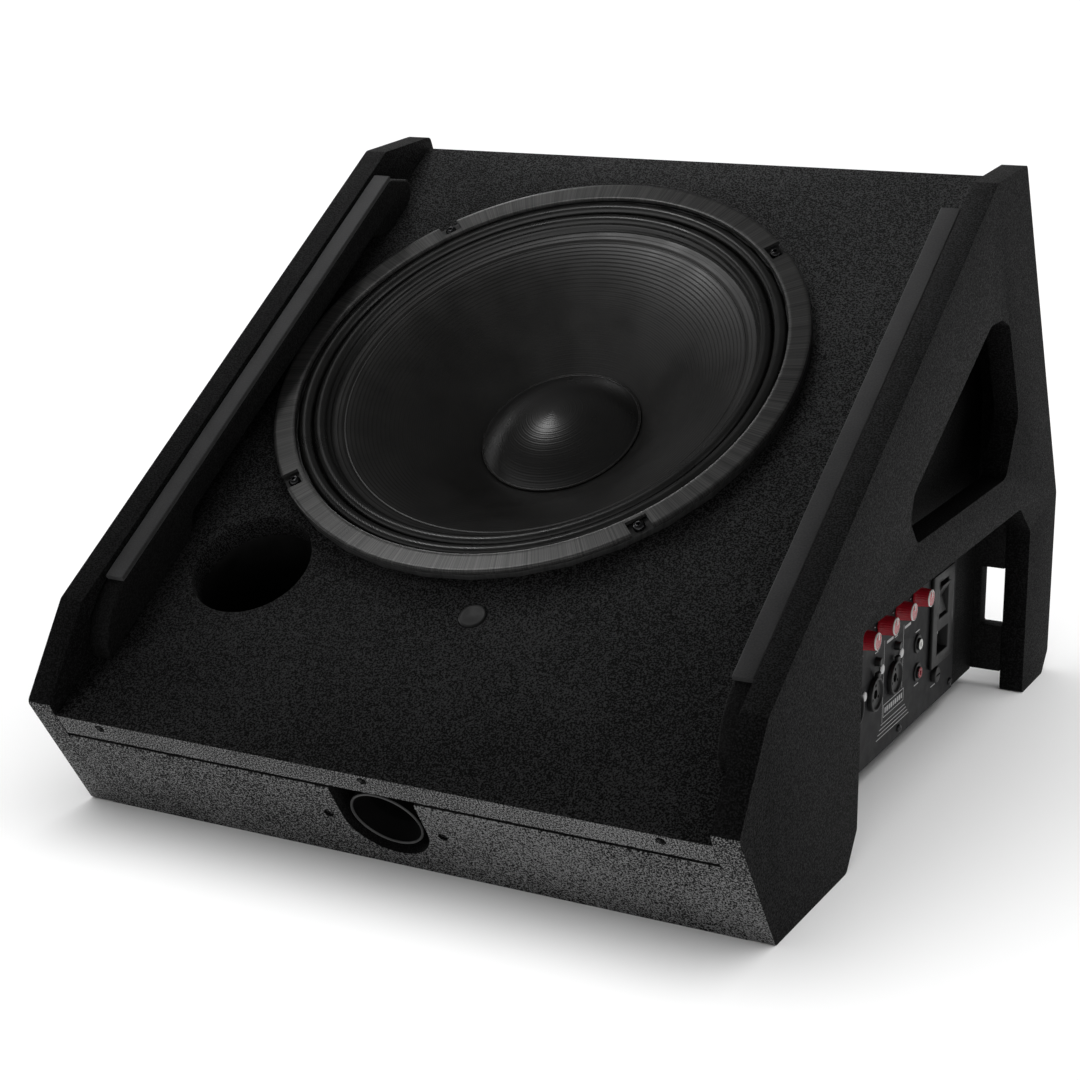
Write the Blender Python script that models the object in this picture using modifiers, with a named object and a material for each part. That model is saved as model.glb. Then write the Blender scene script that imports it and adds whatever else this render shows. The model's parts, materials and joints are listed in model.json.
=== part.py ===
"""Stage monitor wedge: a plywood floor monitor with its grille off, built as its separate pieces.

Metres, +Z up. Origin on the floor under the middle of the wedge. The front faces -Y, and the amplifier
panel is in the right-hand side bay, at +X. The baffle and the front board are square to each other, so
both are drawn in slope coordinates: s runs up the baffle from the front edge of the floor line, and
n stands square to the baffle.
"""
import math

import bmesh
import bpy
from mathutils import Matrix, Vector

# ---- driving dimensions -------------------------------------------------------------------------
GAP = 0.0003                      # clearance between pieces that touch
WIDTH = 0.508                     # overall width
DEPTH = 0.627                     # overall depth, foremost corner to rear bulge
PLY = 0.018                       # side panels, baffle and front board
THIN_PLY = 0.015                  # floor and back boards
SLOPE = math.radians(33.4)        # baffle angle above the floor
FRONT_CORNER = 0.106              # n of the side panel's foremost corner, which leans past its foot

HALF = WIDTH / 2
INNER = HALF - PLY                # inner face of a side panel
SPAN = INNER - GAP                # half the length of the boards between the side panels
FOOT_Y = FRONT_CORNER * math.sin(SLOPE) - DEPTH / 2  # front foot, where s = 0 and n = 0
BACK_Y = DEPTH / 2

BAFFLE_TOP = 0.096                # n of the baffle's face
BAFFLE_UNDER = BAFFLE_TOP - PLY
BAFFLE_LENGTH = 0.589
FRONT_BOARD_TOP = 0.075           # n where the front board's face ends, below the shadow groove
SIDE_EDGE = 0.134                 # n of the side panel's long sloping edge
ROUND_OVER = 0.008                # outer rim of the side panels

WALL_RIGHT = (0.200, 0.212)       # inner side wall that carries the amplifier
WALL_LEFT = (-0.227, -0.218)      # thin inner side wall behind the left handle
BODY_BOTTOM = 0.014               # underside of the body above the floor
BACK_FRONT_Y = 0.500              # front face of the upright back board, from the front foot

DRIVER_X = -0.031                 # the driver sits left of centre to clear the amplifier
DRIVER_S = 0.3536
DRIVER_CUT_R = 0.183
FRAME_R = 0.195
RING_INNER_R = 0.179
BOLT_R = 0.188
FLANGE_TOP = 0.0048               # the driver frame's flange above the baffle
LIP = 0.0009                      # the surround's outer lip, clamped between flange and ring
RING_TOP = 0.009                  # the ring's face above the baffle
CONE_R = 0.157
CAP_R = 0.059
CAP_DEPTH = -0.061                # dust cap rim, below the baffle's face
COIL_R = 0.0505
MAGNET_R = 0.095

PORT_X, PORT_S, PORT_R = -0.162, 0.148, 0.043
PLUG_X, PLUG_S, PLUG_R = 0.0176, 0.1335, 0.0095
CUP_N = 0.046                     # pole cup axis, up the front board
CUP_NOTCH_R = 0.031
CUP_RIM_R = 0.0255
CUP_BORE_R = 0.0183

AMP_X = WALL_RIGHT[1] + GAP       # back of the amplifier panel
AMP_THICK = 0.002
AMP_FACE = AMP_X + AMP_THICK
AMP_Y = (0.204, 0.446)            # from the front foot
AMP_Z = (0.016, 0.142)
AMP_WINDOW_Y = (0.212, 0.436)     # opening in the side wall that the tray passes through
AMP_WINDOW_Z = (0.0305, 0.134)
KNOB_YS = (0.241, 0.278, 0.315, 0.352)
KNOB_Z = 0.114
JACK_YS = (0.269, 0.309)
JACK_Z = 0.066
OUTPUT_Y = 0.231
BUTTON_Z = 0.0885
INLET_Y = 0.410
INLET_Z = 0.083
PHONO_YS_ZS = ((0.360, 0.076), (0.361, 0.054))
FUSE_YZ = (0.400, 0.0405)

HANDLE = ((0.216, 0.206), (0.232, 0.188), (0.428, 0.188), (0.452, 0.232),
          (0.418, 0.302), (0.400, 0.309), (0.374, 0.309), (0.222, 0.224))
ARCH = ((0.117, -0.010), (0.117, 0.0), (0.134, 0.024), (0.134, 0.155),
        (0.470, 0.155), (0.500, 0.131), (0.500, -0.010))
SLOT_X = 0.2178                   # the cable slot runs from here to the right side panel
SLOT_Z = (0.0515, 0.098)


# ---- frames and helpers -------------------------------------------------------------------------
def place(y, z):
    """A point measured back from the front foot, as (Y, Z)."""
    return (FOOT_Y + y, z)


def slope(s, n):
    """Slope coordinates to (Y, Z)."""
    return place(s * math.cos(SLOPE) - n * math.sin(SLOPE), s * math.sin(SLOPE) + n * math.cos(SLOPE))


def slope_matrix(x, s, n):
    """Frame with +Y up the baffle and +Z square to it."""
    y, z = slope(s, n)
    return Matrix.Translation((x, y, z)) @ Matrix.Rotation(SLOPE, 4, "X")


def side_matrix(x, y, z):
    """Frame with +Z along world +X, +X along world +Y, measured from the front foot."""
    world_y, world_z = place(y, z)
    axes = Matrix(((0, 0, 1, 0), (1, 0, 0, 0), (0, 1, 0, 0), (0, 0, 0, 1)))
    return Matrix.Translation((x, world_y, world_z)) @ axes


def front_matrix(x, n, s=0.0):
    """Frame with +Z out of the front board, towards the audience side."""
    y, z = slope(s, n)
    return Matrix.Translation((x, y, z)) @ Matrix.Rotation(SLOPE + math.pi / 2, 4, "X")


def finish(obj, material=None, cutter=False):
    """Put an object in its collection, with its material."""
    for collection in list(obj.users_collection):
        collection.objects.unlink(obj)
    (CUTTERS if cutter else MODEL).objects.link(obj)
    if cutter:
        obj.hide_render = True
        obj.display_type = "WIRE"
    elif material is not None:
        obj.data.materials.clear()
        obj.data.materials.append(material)
    return obj


def mesh_object(name, bm, matrix, material=None, cutter=False, smooth=False):
    mesh = bpy.data.meshes.new(name)
    bmesh.ops.recalc_face_normals(bm, faces=bm.faces)
    bm.to_mesh(mesh)
    bm.free()
    obj = bpy.data.objects.new(name, mesh)
    bpy.context.scene.collection.objects.link(obj)
    obj.matrix_world = matrix
    if smooth:
        mesh.shade_smooth()
        mesh.set_sharp_from_angle(angle=math.radians(35))
    return finish(obj, material, cutter)


def box(name, low, high, matrix, material=None, cutter=False, bevel=0.0):
    """A box between two corners of a local frame."""
    bm = bmesh.new()
    bmesh.ops.create_cube(bm, size=1.0)
    low, high = Vector(low), Vector(high)
    bmesh.ops.scale(bm, vec=high - low, verts=bm.verts)
    bmesh.ops.translate(bm, vec=(low + high) / 2, verts=bm.verts)
    obj = mesh_object(name, bm, matrix, material, cutter)
    if bevel:
        add_bevel(obj, bevel, 2)
    return obj


def cylinder(name, radius, bottom, top, matrix, material=None, cutter=False, segments=32):
    """A cylinder along a local +Z."""
    bm = bmesh.new()
    bmesh.ops.create_cone(bm, cap_ends=True, segments=segments, radius1=radius, radius2=radius,
                          depth=top - bottom)
    bmesh.ops.translate(bm, vec=(0, 0, (top + bottom) / 2), verts=bm.verts)
    return mesh_object(name, bm, matrix, material, cutter, smooth=True)


def turned(name, profile, matrix, material=None, cutter=False, steps=32):
    """A profile of (radius, height) turned about local Z. A ring's profile is a closed loop."""
    mesh = bpy.data.meshes.new(name)
    closed = profile[0][0] > 1e-6 or profile[-1][0] > 1e-6
    following = profile[1:] + profile[:1]
    if sum(a[0] * b[1] - b[0] * a[1] for a, b in zip(profile, following)) > 0:
        profile = profile[::-1]   # the outer side has to run downwards
    verts = [(r, 0.0, h) for r, h in profile]
    edges = [(i, i + 1) for i in range(len(verts) - 1)]
    if closed:
        edges.append((len(verts) - 1, 0))
    mesh.from_pydata(verts, edges, [])
    obj = bpy.data.objects.new(name, mesh)
    bpy.context.scene.collection.objects.link(obj)
    obj.matrix_world = matrix
    screw = obj.modifiers.new("turn", "SCREW")
    screw.steps = screw.render_steps = steps
    screw.use_merge_vertices = True
    screw.merge_threshold = 0.00001
    screw.use_smooth_shade = True
    return finish(obj, material, cutter)


def flat_curve(name, outline, thickness, matrix, holes=()):
    """A flat outline, with holes, made solid. Local XY outline, thickness along local Z from 0."""
    curve = bpy.data.curves.new(name, "CURVE")
    curve.dimensions = "2D"
    curve.fill_mode = "BOTH"
    curve.extrude = thickness / 2
    for loop in (outline, *holes):
        spline = curve.splines.new("POLY")
        spline.points.add(len(loop) - 1)
        for point, (x, y) in zip(spline.points, loop):
            point.co = (x, y, 0, 1)
        spline.use_cyclic_u = True
    obj = bpy.data.objects.new(name, curve)
    bpy.context.scene.collection.objects.link(obj)
    obj.matrix_world = matrix @ Matrix.Translation((0, 0, thickness / 2))
    return obj


def slab(name, outline, x_low, x_high, material=None, cutter=False, holes=()):
    """A world (Y, Z) outline, extruded from x_low to x_high."""
    axes = Matrix(((0, 0, 1, x_low), (1, 0, 0, 0), (0, 1, 0, 0), (0, 0, 0, 1)))
    curve = flat_curve(name + "_outline", outline, x_high - x_low, axes, holes)
    bpy.context.view_layer.update()
    evaluated = curve.evaluated_get(bpy.context.evaluated_depsgraph_get())
    mesh = bpy.data.meshes.new_from_object(evaluated)
    mesh.name = name
    bm = bmesh.new()
    bm.from_mesh(mesh)
    bmesh.ops.remove_doubles(bm, verts=bm.verts, dist=0.00001)
    bmesh.ops.dissolve_limit(bm, angle_limit=0.001, verts=bm.verts, edges=bm.edges)
    bmesh.ops.recalc_face_normals(bm, faces=bm.faces)
    bm.to_mesh(mesh)
    bm.free()
    obj = bpy.data.objects.new(name, mesh)
    bpy.context.scene.collection.objects.link(obj)
    obj.matrix_world = curve.matrix_world.copy()
    bpy.data.objects.remove(curve)
    return finish(obj, material, cutter)


def cut(obj, cutter, operation="DIFFERENCE"):
    modifier = obj.modifiers.new(operation.lower(), "BOOLEAN")
    modifier.operation = operation
    modifier.solver = "EXACT"
    modifier.object = cutter
    return obj


def add_bevel(obj, width, segments, angle=30):
    bevel = obj.modifiers.new("bevel", "BEVEL")
    bevel.width = width
    bevel.segments = segments
    bevel.limit_method = "ANGLE"
    bevel.angle_limit = math.radians(angle)
    return bevel


def material(name, colour, roughness, metallic=0.0):
    mat = bpy.data.materials.new(name)
    mat.use_nodes = True
    shader = mat.node_tree.nodes["Principled BSDF"]
    shader.inputs["Base Color"].default_value = (*colour, 1.0)
    shader.inputs["Roughness"].default_value = roughness
    shader.inputs["Metallic"].default_value = metallic
    return mat


def arc(centre, radius, start, end, count):
    """Points of an arc, angles in degrees."""
    turns = [math.radians(start + (end - start) * i / count) for i in range(count + 1)]
    return [(centre[0] + radius * math.cos(t), centre[1] + radius * math.sin(t)) for t in turns]


# ---- cabinet ------------------------------------------------------------------------------------
def side_outline():
    """The side panel's outer outline with the arch cut up from below, as (Y, Z)."""
    outer = [place(0.0, 0.0), slope(0.0, FRONT_CORNER), slope(0.0665, SIDE_EDGE + 0.001),
             slope(0.537, SIDE_EDGE), place(0.442, 0.413),
             (BACK_Y, 0.146), (BACK_Y, 0.016), (BACK_Y - 0.014, 0.0), place(0.500, 0.0)]
    arch = [place(y, z) for y, z in reversed(ARCH[2:-1])]
    return outer + arch + [place(*ARCH[1])]


def round_rim(obj, outside_x):
    """Round the outer rim of a side panel, leaving the feet and the inner face square."""
    bm = bmesh.new()
    bm.from_mesh(obj.data)
    to_world = obj.matrix_world
    rim = []
    for edge in bm.edges:
        points = [to_world @ v.co for v in edge.verts]
        on_face = all(abs(p.x - outside_x) < 1e-5 for p in points)
        above = all(p.z > 0.005 for p in points) or all(p.y < FOOT_Y + 0.001 for p in points)
        y_mid = sum(p.y for p in points) / 2 - FOOT_Y
        z_mid = sum(p.z for p in points) / 2
        inside_arch = 0.110 < y_mid < 0.505 and z_mid < 0.160
        inside_handle = 0.210 < y_mid < 0.455 and 0.185 < z_mid < 0.312
        if on_face and above and len(edge.link_faces) == 2 and not inside_arch and not inside_handle:
            if edge.calc_face_angle(0.0) > 0.5:
                rim.append(edge)
    bmesh.ops.bevel(bm, geom=rim, offset=ROUND_OVER, segments=4, profile=0.5, affect="EDGES",
                    clamp_overlap=True)
    bm.to_mesh(obj.data)
    bm.free()


def side_panels():
    handle = [place(y, z) for y, z in HANDLE]
    for name, low, high, outside in (("side_panel_left", -HALF, -INNER, -HALF),
                                     ("side_panel_right", INNER, HALF, HALF)):
        panel = slab(name, side_outline(), low, high, PAINT, holes=[handle])
        round_rim(panel, outside)


def baffle():
    outline = [slope(0.0, BAFFLE_UNDER + 0.001), slope(0.001, BAFFLE_UNDER),
               slope(BAFFLE_LENGTH, BAFFLE_UNDER), slope(BAFFLE_LENGTH, BAFFLE_TOP), slope(0.003, BAFFLE_TOP),
               slope(0.0009, BAFFLE_TOP - 0.0009), slope(0.0, BAFFLE_TOP - 0.003)]
    board = slab("baffle_board", outline, -SPAN, SPAN, PAINT)
    holes = ((DRIVER_X, DRIVER_S, DRIVER_CUT_R, 64), (PORT_X, PORT_S, PORT_R, 40),
             (PLUG_X, PLUG_S, PLUG_R + GAP, 24))
    for index, (x, s, radius, segments) in enumerate(holes):
        frame = slope_matrix(x, s, BAFFLE_TOP)
        cut(board, cylinder(f"baffle_hole_{index}", radius, -PLY * 2, PLY, frame, cutter=True,
                            segments=segments))
    for index in range(4):
        turn = Matrix.Rotation(math.radians(45 + 90 * index), 4, "Z")
        frame = slope_matrix(DRIVER_X, DRIVER_S, BAFFLE_TOP) @ turn @ Matrix.Translation((BOLT_R, 0, 0))
        cut(board, cylinder(f"driver_screw_hole_{index}", 0.0028, -PLY * 2, PLY, frame, cutter=True,
                            segments=12))
    for index, (label, x) in enumerate((("left", -0.202), ("centre", 0.0), ("right", 0.202))):
        frame = front_matrix(x, 0.0905)
        cut(board, cylinder(f"insert_hole_{index}", 0.0033, -0.0125, 0.01, frame, cutter=True, segments=16))
        ring = [(0.003, -0.0005), (0.003, -0.012), (0.0016, -0.012), (0.0016, -0.0005)]
        turned(f"grille_insert_{label}", ring, frame, STEEL, steps=16)
    plug = [(0.0, 0.0008), (PLUG_R * 0.7, 0.0006), (PLUG_R - 0.0006, 0.0003), (PLUG_R, -0.0005),
            (PLUG_R, -0.014), (0.0, -0.014)]
    turned("baffle_plug", plug, slope_matrix(PLUG_X, PLUG_S, BAFFLE_TOP), BLACK_PLASTIC, steps=24)


def front_board():
    heel = -PLY * math.tan(SLOPE)
    under = BAFFLE_UNDER - GAP
    outline = [slope(0.0, 0.0), slope(PLY, heel), slope(PLY, under), slope(0.006, under),
               slope(0.006, FRONT_BOARD_TOP), slope(0.0025, FRONT_BOARD_TOP), slope(0.0007, 0.0743),
               slope(0.0, 0.0725)]
    board = slab("front_panel", outline, -SPAN, SPAN, PAINT)
    frame = front_matrix(0.0, CUP_N)
    cut(board, cylinder("cup_notch_round", CUP_NOTCH_R, -0.03, 0.02, frame, cutter=True, segments=48))
    cut(board, box("cup_notch_top", (-CUP_NOTCH_R, 0.0, -0.03), (CUP_NOTCH_R, 0.05, 0.02), frame,
                   cutter=True))
    for index, x in enumerate((-0.042, 0.042)):
        cut(board, cylinder(f"cup_screw_hole_{index}", 0.0034, -0.03, 0.02, front_matrix(x, CUP_N - 0.0015),
                            cutter=True, segments=20))


def pole_cup():
    """The pole socket set into the front board: rim, tapered mouth, bore and its mounting plate."""
    rim = -0.003
    end = -0.088
    profile = [(0.0, end + 0.004), (CUP_BORE_R, end + 0.004), (CUP_BORE_R, -0.016),
               (CUP_RIM_R - 0.0026, rim - 0.0022), (CUP_RIM_R - 0.0022, rim), (CUP_RIM_R - 0.0005, rim),
               (CUP_RIM_R, rim - 0.001), (CUP_RIM_R, -0.0165), (0.0212, -0.0185), (0.0212, end), (0.0, end)]
    frame = front_matrix(0.0, CUP_N)
    cup = turned("pole_cup", profile, frame, BLACK_PLASTIC, steps=24)
    back = -PLY - GAP
    plate = box("cup_plate", (-0.052, -0.0155, back - 0.003), (0.052, 0.0155, back), frame, cutter=True)
    hollow = cylinder("cup_plate_clear", CUP_BORE_R + 0.001, back - 0.01, back + 0.01, frame, cutter=True)
    cut(plate, hollow)
    for index, x in enumerate((-0.042, 0.042)):
        hole = cylinder(f"cup_plate_hole_{index}", 0.0028, back - 0.01, back + 0.01,
                        front_matrix(x, CUP_N - 0.0015), cutter=True, segments=20)
        cut(plate, hole)
    cut(cup, plate, "UNION")
    head = [(0.0, -0.0018), (0.0012, -0.0018), (0.0024, -0.001), (0.003, -0.0024), (0.003, -0.0026),
            (0.0022, -0.0035), (0.0022, -0.026), (0.0, -0.026)]
    for label, x in (("left", -0.042), ("right", 0.042)):
        turned(f"pole_cup_screw_{label}", head, front_matrix(x, CUP_N - 0.0015), STEEL, steps=16)


def body_boards():
    clear = PLY + GAP
    top = BAFFLE_UNDER - GAP
    back = Vector((0.568 - 0.442, 0.146 - 0.413)).normalized()
    inward = Vector((back.y, -back.x))
    corner = Vector((0.442, 0.413))

    def back_line(inset, z):
        """Y, from the front foot, of a line parallel to the side panel's rear edge."""
        start = corner + inward * inset
        return start.x + (z - start.y) * back.x / back.y

    def meet_baffle(inset):
        """Where such a line meets the underside of the baffle, by bisection."""
        low, high = 0.30, 0.42
        for _ in range(40):
            mid = (low + high) / 2
            y = back_line(inset, mid)
            n = -y * math.sin(SLOPE) + mid * math.cos(SLOPE)
            low, high = (mid, high) if n < top else (low, mid)
        return back_line(inset, low), low

    def meet_upright(inset, y):
        start = corner + inward * inset
        return start.y + (y - start.x) * back.y / back.x

    outer_inset, inner_inset = 0.008, 0.008 + THIN_PLY
    back_y = BACK_FRONT_Y + THIN_PLY
    outer_low = (back_y, meet_upright(outer_inset, back_y))
    inner_low = (BACK_FRONT_Y, meet_upright(inner_inset, BACK_FRONT_Y))
    upper = [place(*outer_low), place(*meet_baffle(outer_inset)), place(*meet_baffle(inner_inset)),
             place(*inner_low)]
    slab("rear_panel_upper", upper, -SPAN, SPAN, PAINT)

    drop = 0.0005
    lower = [(BACK_FRONT_Y, 0.015), (back_y, 0.015), (back_y, outer_low[1] - drop),
             (BACK_FRONT_Y, inner_low[1] - drop)]
    board = slab("rear_panel_lower", [place(*p) for p in lower], -SPAN, SPAN, PAINT)
    notch = [(BACK_FRONT_Y - 0.01, SLOT_Z[0]), (back_y + 0.01, SLOT_Z[0]), (back_y + 0.01, SLOT_Z[1]),
             (BACK_FRONT_Y - 0.01, SLOT_Z[1])]
    cut(board, slab("cable_slot", [place(*p) for p in notch], SLOT_X, SPAN + 0.01, cutter=True))

    def front_line(z):
        """Y, from the front foot, of the front board's inner face."""
        return (clear - z * math.sin(SLOPE)) / math.cos(SLOPE)

    inset = inner_inset + GAP
    top_back = meet_baffle(inset)
    upright = BACK_FRONT_Y - GAP
    wall = [(front_line(BODY_BOTTOM), BODY_BOTTOM), (upright, BODY_BOTTOM),
            (upright, meet_upright(inset, upright)), top_back]
    outline = [place(*p) for p in wall] + [slope(clear, top)]
    slab("inner_wall_left", outline, *WALL_LEFT, PAINT)
    right = slab("inner_wall_right", outline, *WALL_RIGHT, PAINT)
    window = [(AMP_WINDOW_Y[0], AMP_WINDOW_Z[0]), (AMP_WINDOW_Y[1], AMP_WINDOW_Z[0]),
              (AMP_WINDOW_Y[1], AMP_WINDOW_Z[1]), (AMP_WINDOW_Y[0], AMP_WINDOW_Z[1])]
    cut(right, slab("amp_window", [place(*p) for p in window], WALL_RIGHT[0] - 0.01, WALL_RIGHT[1] + 0.01,
                    cutter=True))

    floor_top = BODY_BOTTOM + THIN_PLY
    floor = [(front_line(BODY_BOTTOM), BODY_BOTTOM), (upright, BODY_BOTTOM), (upright, floor_top),
             (front_line(floor_top), floor_top)]
    slab("bottom_panel", [place(*p) for p in floor], WALL_LEFT[1] + GAP, WALL_RIGHT[0] - GAP, PAINT)


def ledges():
    """The bearers that carried the grille, bridged over the driver's ring, and their foam strips."""
    base = BAFFLE_TOP + GAP
    top = 0.128
    bridge = base + 0.0125
    outline = [slope(0.050, base), slope(0.162, base), slope(0.176, bridge), slope(0.466, bridge),
               slope(0.478, base + 0.003), slope(0.486, base), slope(0.524, base), slope(0.531, base + 0.006),
               slope(0.531, base + 0.016), slope(0.512, top), slope(0.086, top), slope(0.066, top - 0.007),
               slope(0.053, base + 0.012)]
    foam = [slope(0.093, top + GAP), slope(0.511, top + GAP), slope(0.511, top + 0.004),
            slope(0.093, top + 0.004)]
    for side, label in ((-1, "left"), (1, "right")):
        low, high = sorted((side * (INNER - GAP), side * 0.2205))
        slab(f"grille_ledge_{label}", outline, low, high, PAINT)
        low, high = sorted((side * (INNER - 0.0012), side * 0.2205))
        slab(f"ledge_foam_{label}", foam, low, high, FOAM)


def port_tube():
    tube = [(PORT_R + 0.0035, -PLY - GAP), (PORT_R + 0.0035, -0.110), (PORT_R + 0.0005, -0.110),
            (PORT_R + 0.0005, -PLY - GAP)]
    turned("port_tube", tube, slope_matrix(PORT_X, PORT_S, BAFFLE_TOP), BLACK_PLASTIC, steps=32)


def wadding():
    frame = side_matrix(-0.195, 0.0, 0.0)
    box("acoustic_wadding", (0.462, 0.035, 0.0), (0.496, 0.215, 0.300), frame, WADDING, bevel=0.008)


# ---- driver -------------------------------------------------------------------------------------
def driver_frame():
    """Frame whose +Z is the driver's axis, with its origin on the baffle's face."""
    return slope_matrix(DRIVER_X, DRIVER_S, BAFFLE_TOP)


def woofer_frame():
    """Pressed basket: flange, four-window cone of ribs and the seat for the magnet."""
    profile = [(FRAME_R, FLANGE_TOP), (FRAME_R, GAP), (0.1815, GAP), (0.1815, -0.014), (0.171, -0.030),
               (0.1000, -0.0975), (0.1000, -0.1015), (0.066, -0.1015), (0.066, -0.0985), (0.0965, -0.0985),
               (0.1680, -0.0300), (0.1785, -0.0125), (0.1785, FLANGE_TOP)]
    frame = driver_frame()
    basket = turned("woofer_frame", profile, frame, CAST, steps=36)
    for index in range(4):
        turn = Matrix.Rotation(math.radians(90 * index), 4, "Z")
        window = box(f"basket_window_{index}", (0.108, -0.058, -0.094), (0.185, 0.058, -0.034), frame @ turn,
                     cutter=True)
        cut(basket, window)
        bolt = Matrix.Rotation(math.radians(45 + 90 * index), 4, "Z") @ Matrix.Translation((BOLT_R, 0, 0))
        cut(basket, cylinder(f"flange_hole_{index}", 0.0028, -0.01, 0.02, frame @ bolt, cutter=True,
                             segments=12))


def trim_ring():
    """Flat ring over the flange, notched at the four screws."""
    low = FLANGE_TOP + LIP + 2 * GAP
    profile = [(FRAME_R - 0.001, RING_TOP), (FRAME_R, RING_TOP - 0.001), (FRAME_R, low), (RING_INNER_R, low),
               (RING_INNER_R, RING_TOP - 0.0006), (RING_INNER_R + 0.0006, RING_TOP)]
    frame = driver_frame()
    ring = turned("woofer_trim_ring", profile, frame, RING_METAL, steps=60)
    for index in range(4):
        turn = Matrix.Rotation(math.radians(45 + 90 * index), 4, "Z")
        notch = box(f"ring_notch_{index}", (0.1825, -0.0075, 0.0), (0.21, 0.0075, 0.02), frame @ turn,
                    cutter=True)
        cut(ring, notch)
        screw_frame = frame @ turn @ Matrix.Translation((BOLT_R, 0, 0))
        head = [(0.0, 0.0088), (0.0018, 0.0087), (0.0034, 0.0080), (0.0042, 0.0066), (0.0042, 0.0051),
                (0.0025, 0.0051), (0.0025, -0.030), (0.0, -0.030)]
        turned(f"woofer_screw_{index + 1}", head, screw_frame, STEEL, steps=16)


def surround_line():
    """Mid line of the two-roll surround, from its outer lip in to the cone, as (radius, height)."""
    lip = FLANGE_TOP + GAP + LIP / 2
    line = [(0.1835, lip), (0.1779, lip), (0.1774, 0.0010)]
    for centre, foot in ((0.1727, (0.16755, 0.0006)), (0.1624, (0.1574, -0.0002))):
        for angle in (math.radians(60), math.radians(120)):
            line.append((centre + 0.0048 * math.cos(angle), 0.0004 + 0.0050 * math.sin(angle)))
        line.append(foot)
    return line


def thick_line(line, thickness):
    """A closed profile of even thickness round an open mid line."""
    upper, lower = [], []
    for i, point in enumerate(line):
        along = Vector(line[min(i + 1, len(line) - 1)]) - Vector(line[max(i - 1, 0)])
        across = Vector((along.y, -along.x)).normalized() * thickness / 2
        upper.append(tuple(Vector(point) + across))
        lower.append(tuple(Vector(point) - across))
    return upper + lower[::-1]


def moving_assembly():
    frame = driver_frame()
    turned("woofer_surround", thick_line(surround_line(), LIP), frame, RUBBER, steps=36)

    def cone_height(radius):
        share = (radius - CAP_R) / (CONE_R - CAP_R)
        return -0.0030 + (CAP_DEPTH + 0.001 + 0.0030) * (1 - share) ** 1.30

    radii = [CONE_R - (CONE_R - 0.0535) * i / 8 for i in range(9)]
    top = [(r, cone_height(r) if r > CAP_R else CAP_DEPTH - 0.0005 - (CAP_R - r) * 0.75) for r in radii]
    under = [(r, h - 0.0014) for r, h in top]
    turned("woofer_cone", top[::-1] + under, frame, CONE, steps=36)

    rise = 0.0215
    sphere = (CAP_R ** 2 + rise ** 2) / (2 * rise)
    dome = []
    for i in range(7):
        radius = CAP_R * i / 6
        dome.append((radius, CAP_DEPTH + 0.0018 + rise - sphere + math.sqrt(sphere ** 2 - radius ** 2)))
    shell = dome + [(r, h - 0.0008) for r, h in reversed(dome)]
    turned("dust_cap", shell, frame, CONE, steps=36)

    former = [(COIL_R + 0.0006, -0.0665), (COIL_R + 0.0006, -0.118), (COIL_R, -0.118), (COIL_R, -0.0665)]
    turned("voice_coil", former, frame, COIL, steps=28)

    line = [(0.0522 + 0.035 * i / 9, -0.0885 + 0.0014 * (-1) ** i) for i in range(10)]
    shell = [(r, h + 0.0003) for r, h in line] + [(r, h - 0.0003) for r, h in reversed(line)]
    turned("spider", shell, frame, SPIDER, steps=24)


def motor():
    frame = driver_frame()
    below = -0.1015 - GAP
    plates = {"top_plate": (0.0525, 0.088, below - 0.008, below, STEEL),
              "magnet": (0.064, MAGNET_R, below - 0.0285, below - 0.0083, MAGNET)}
    for name, (inner, outer, low, high, mat) in plates.items():
        ring = [(outer - 0.001, high), (outer, high - 0.001), (outer, low + 0.001), (outer - 0.001, low),
                (inner, low), (inner, high)]
        turned(name, ring, frame, mat, steps=28)
    seat = below - 0.0285 - GAP
    yoke = [(0.0475, -0.100), (0.0475, seat), (0.090, seat), (0.090, seat - 0.008), (0.017, seat - 0.008),
            (0.024, -0.100)]
    turned("back_plate", yoke, frame, STEEL, steps=28)
    low = seat - 0.008 - GAP
    horn = [(0.0, low - 0.006), (0.016, low), (0.050, low), (0.054, low - 0.004), (0.054, low - 0.018),
            (0.045, low - 0.022), (0.045, low - 0.038), (0.0, low - 0.040)]
    turned("hf_driver", horn, frame, STEEL, steps=24)


# ---- amplifier ----------------------------------------------------------------------------------
def jack(name, y, z, mat):
    """Round locking socket: collar proud of the panel, sunk face and barrel behind."""
    frame = side_matrix(AMP_FACE, y, z)
    profile = [(0.0, -0.020), (0.0036, -0.020), (0.0036, -0.0015), (0.0098, -0.0015), (0.0104, 0.0035),
               (0.0116, 0.0035), (0.0122, 0.0028), (0.0122, GAP), (0.0115, GAP), (0.0115, -0.022),
               (0.0, -0.022)]
    turned(name, profile, frame, mat, steps=20)


def latch_tab(name, y, z):
    """Release tab at the top of a locking socket."""
    frame = side_matrix(AMP_FACE, y, z)
    tab = box(name, (-0.0028, 0.0127, 0.0014), (0.0028, 0.0165, 0.0046), frame, BLACK_PLASTIC)
    add_bevel(tab, 0.0005, 1)


def knob(name, y):
    """Tapered knob with a pointer rib, on its own spindle through the panel."""
    frame = side_matrix(AMP_FACE, y, KNOB_Z)
    profile = [(0.0, 0.0125), (0.0056, 0.0125), (0.0064, 0.0115), (0.0074, 0.0022), (0.0074, 0.0008),
               (0.0030, 0.0008), (0.0030, -0.0120), (0.0, -0.0120)]
    body = turned(name, profile, frame, RED, steps=24)
    rib = box(name + "_rib", (-0.0007, 0.0010, 0.0100), (0.0007, 0.0067, 0.0131), frame, cutter=True)
    cut(body, rib, "UNION")


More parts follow.
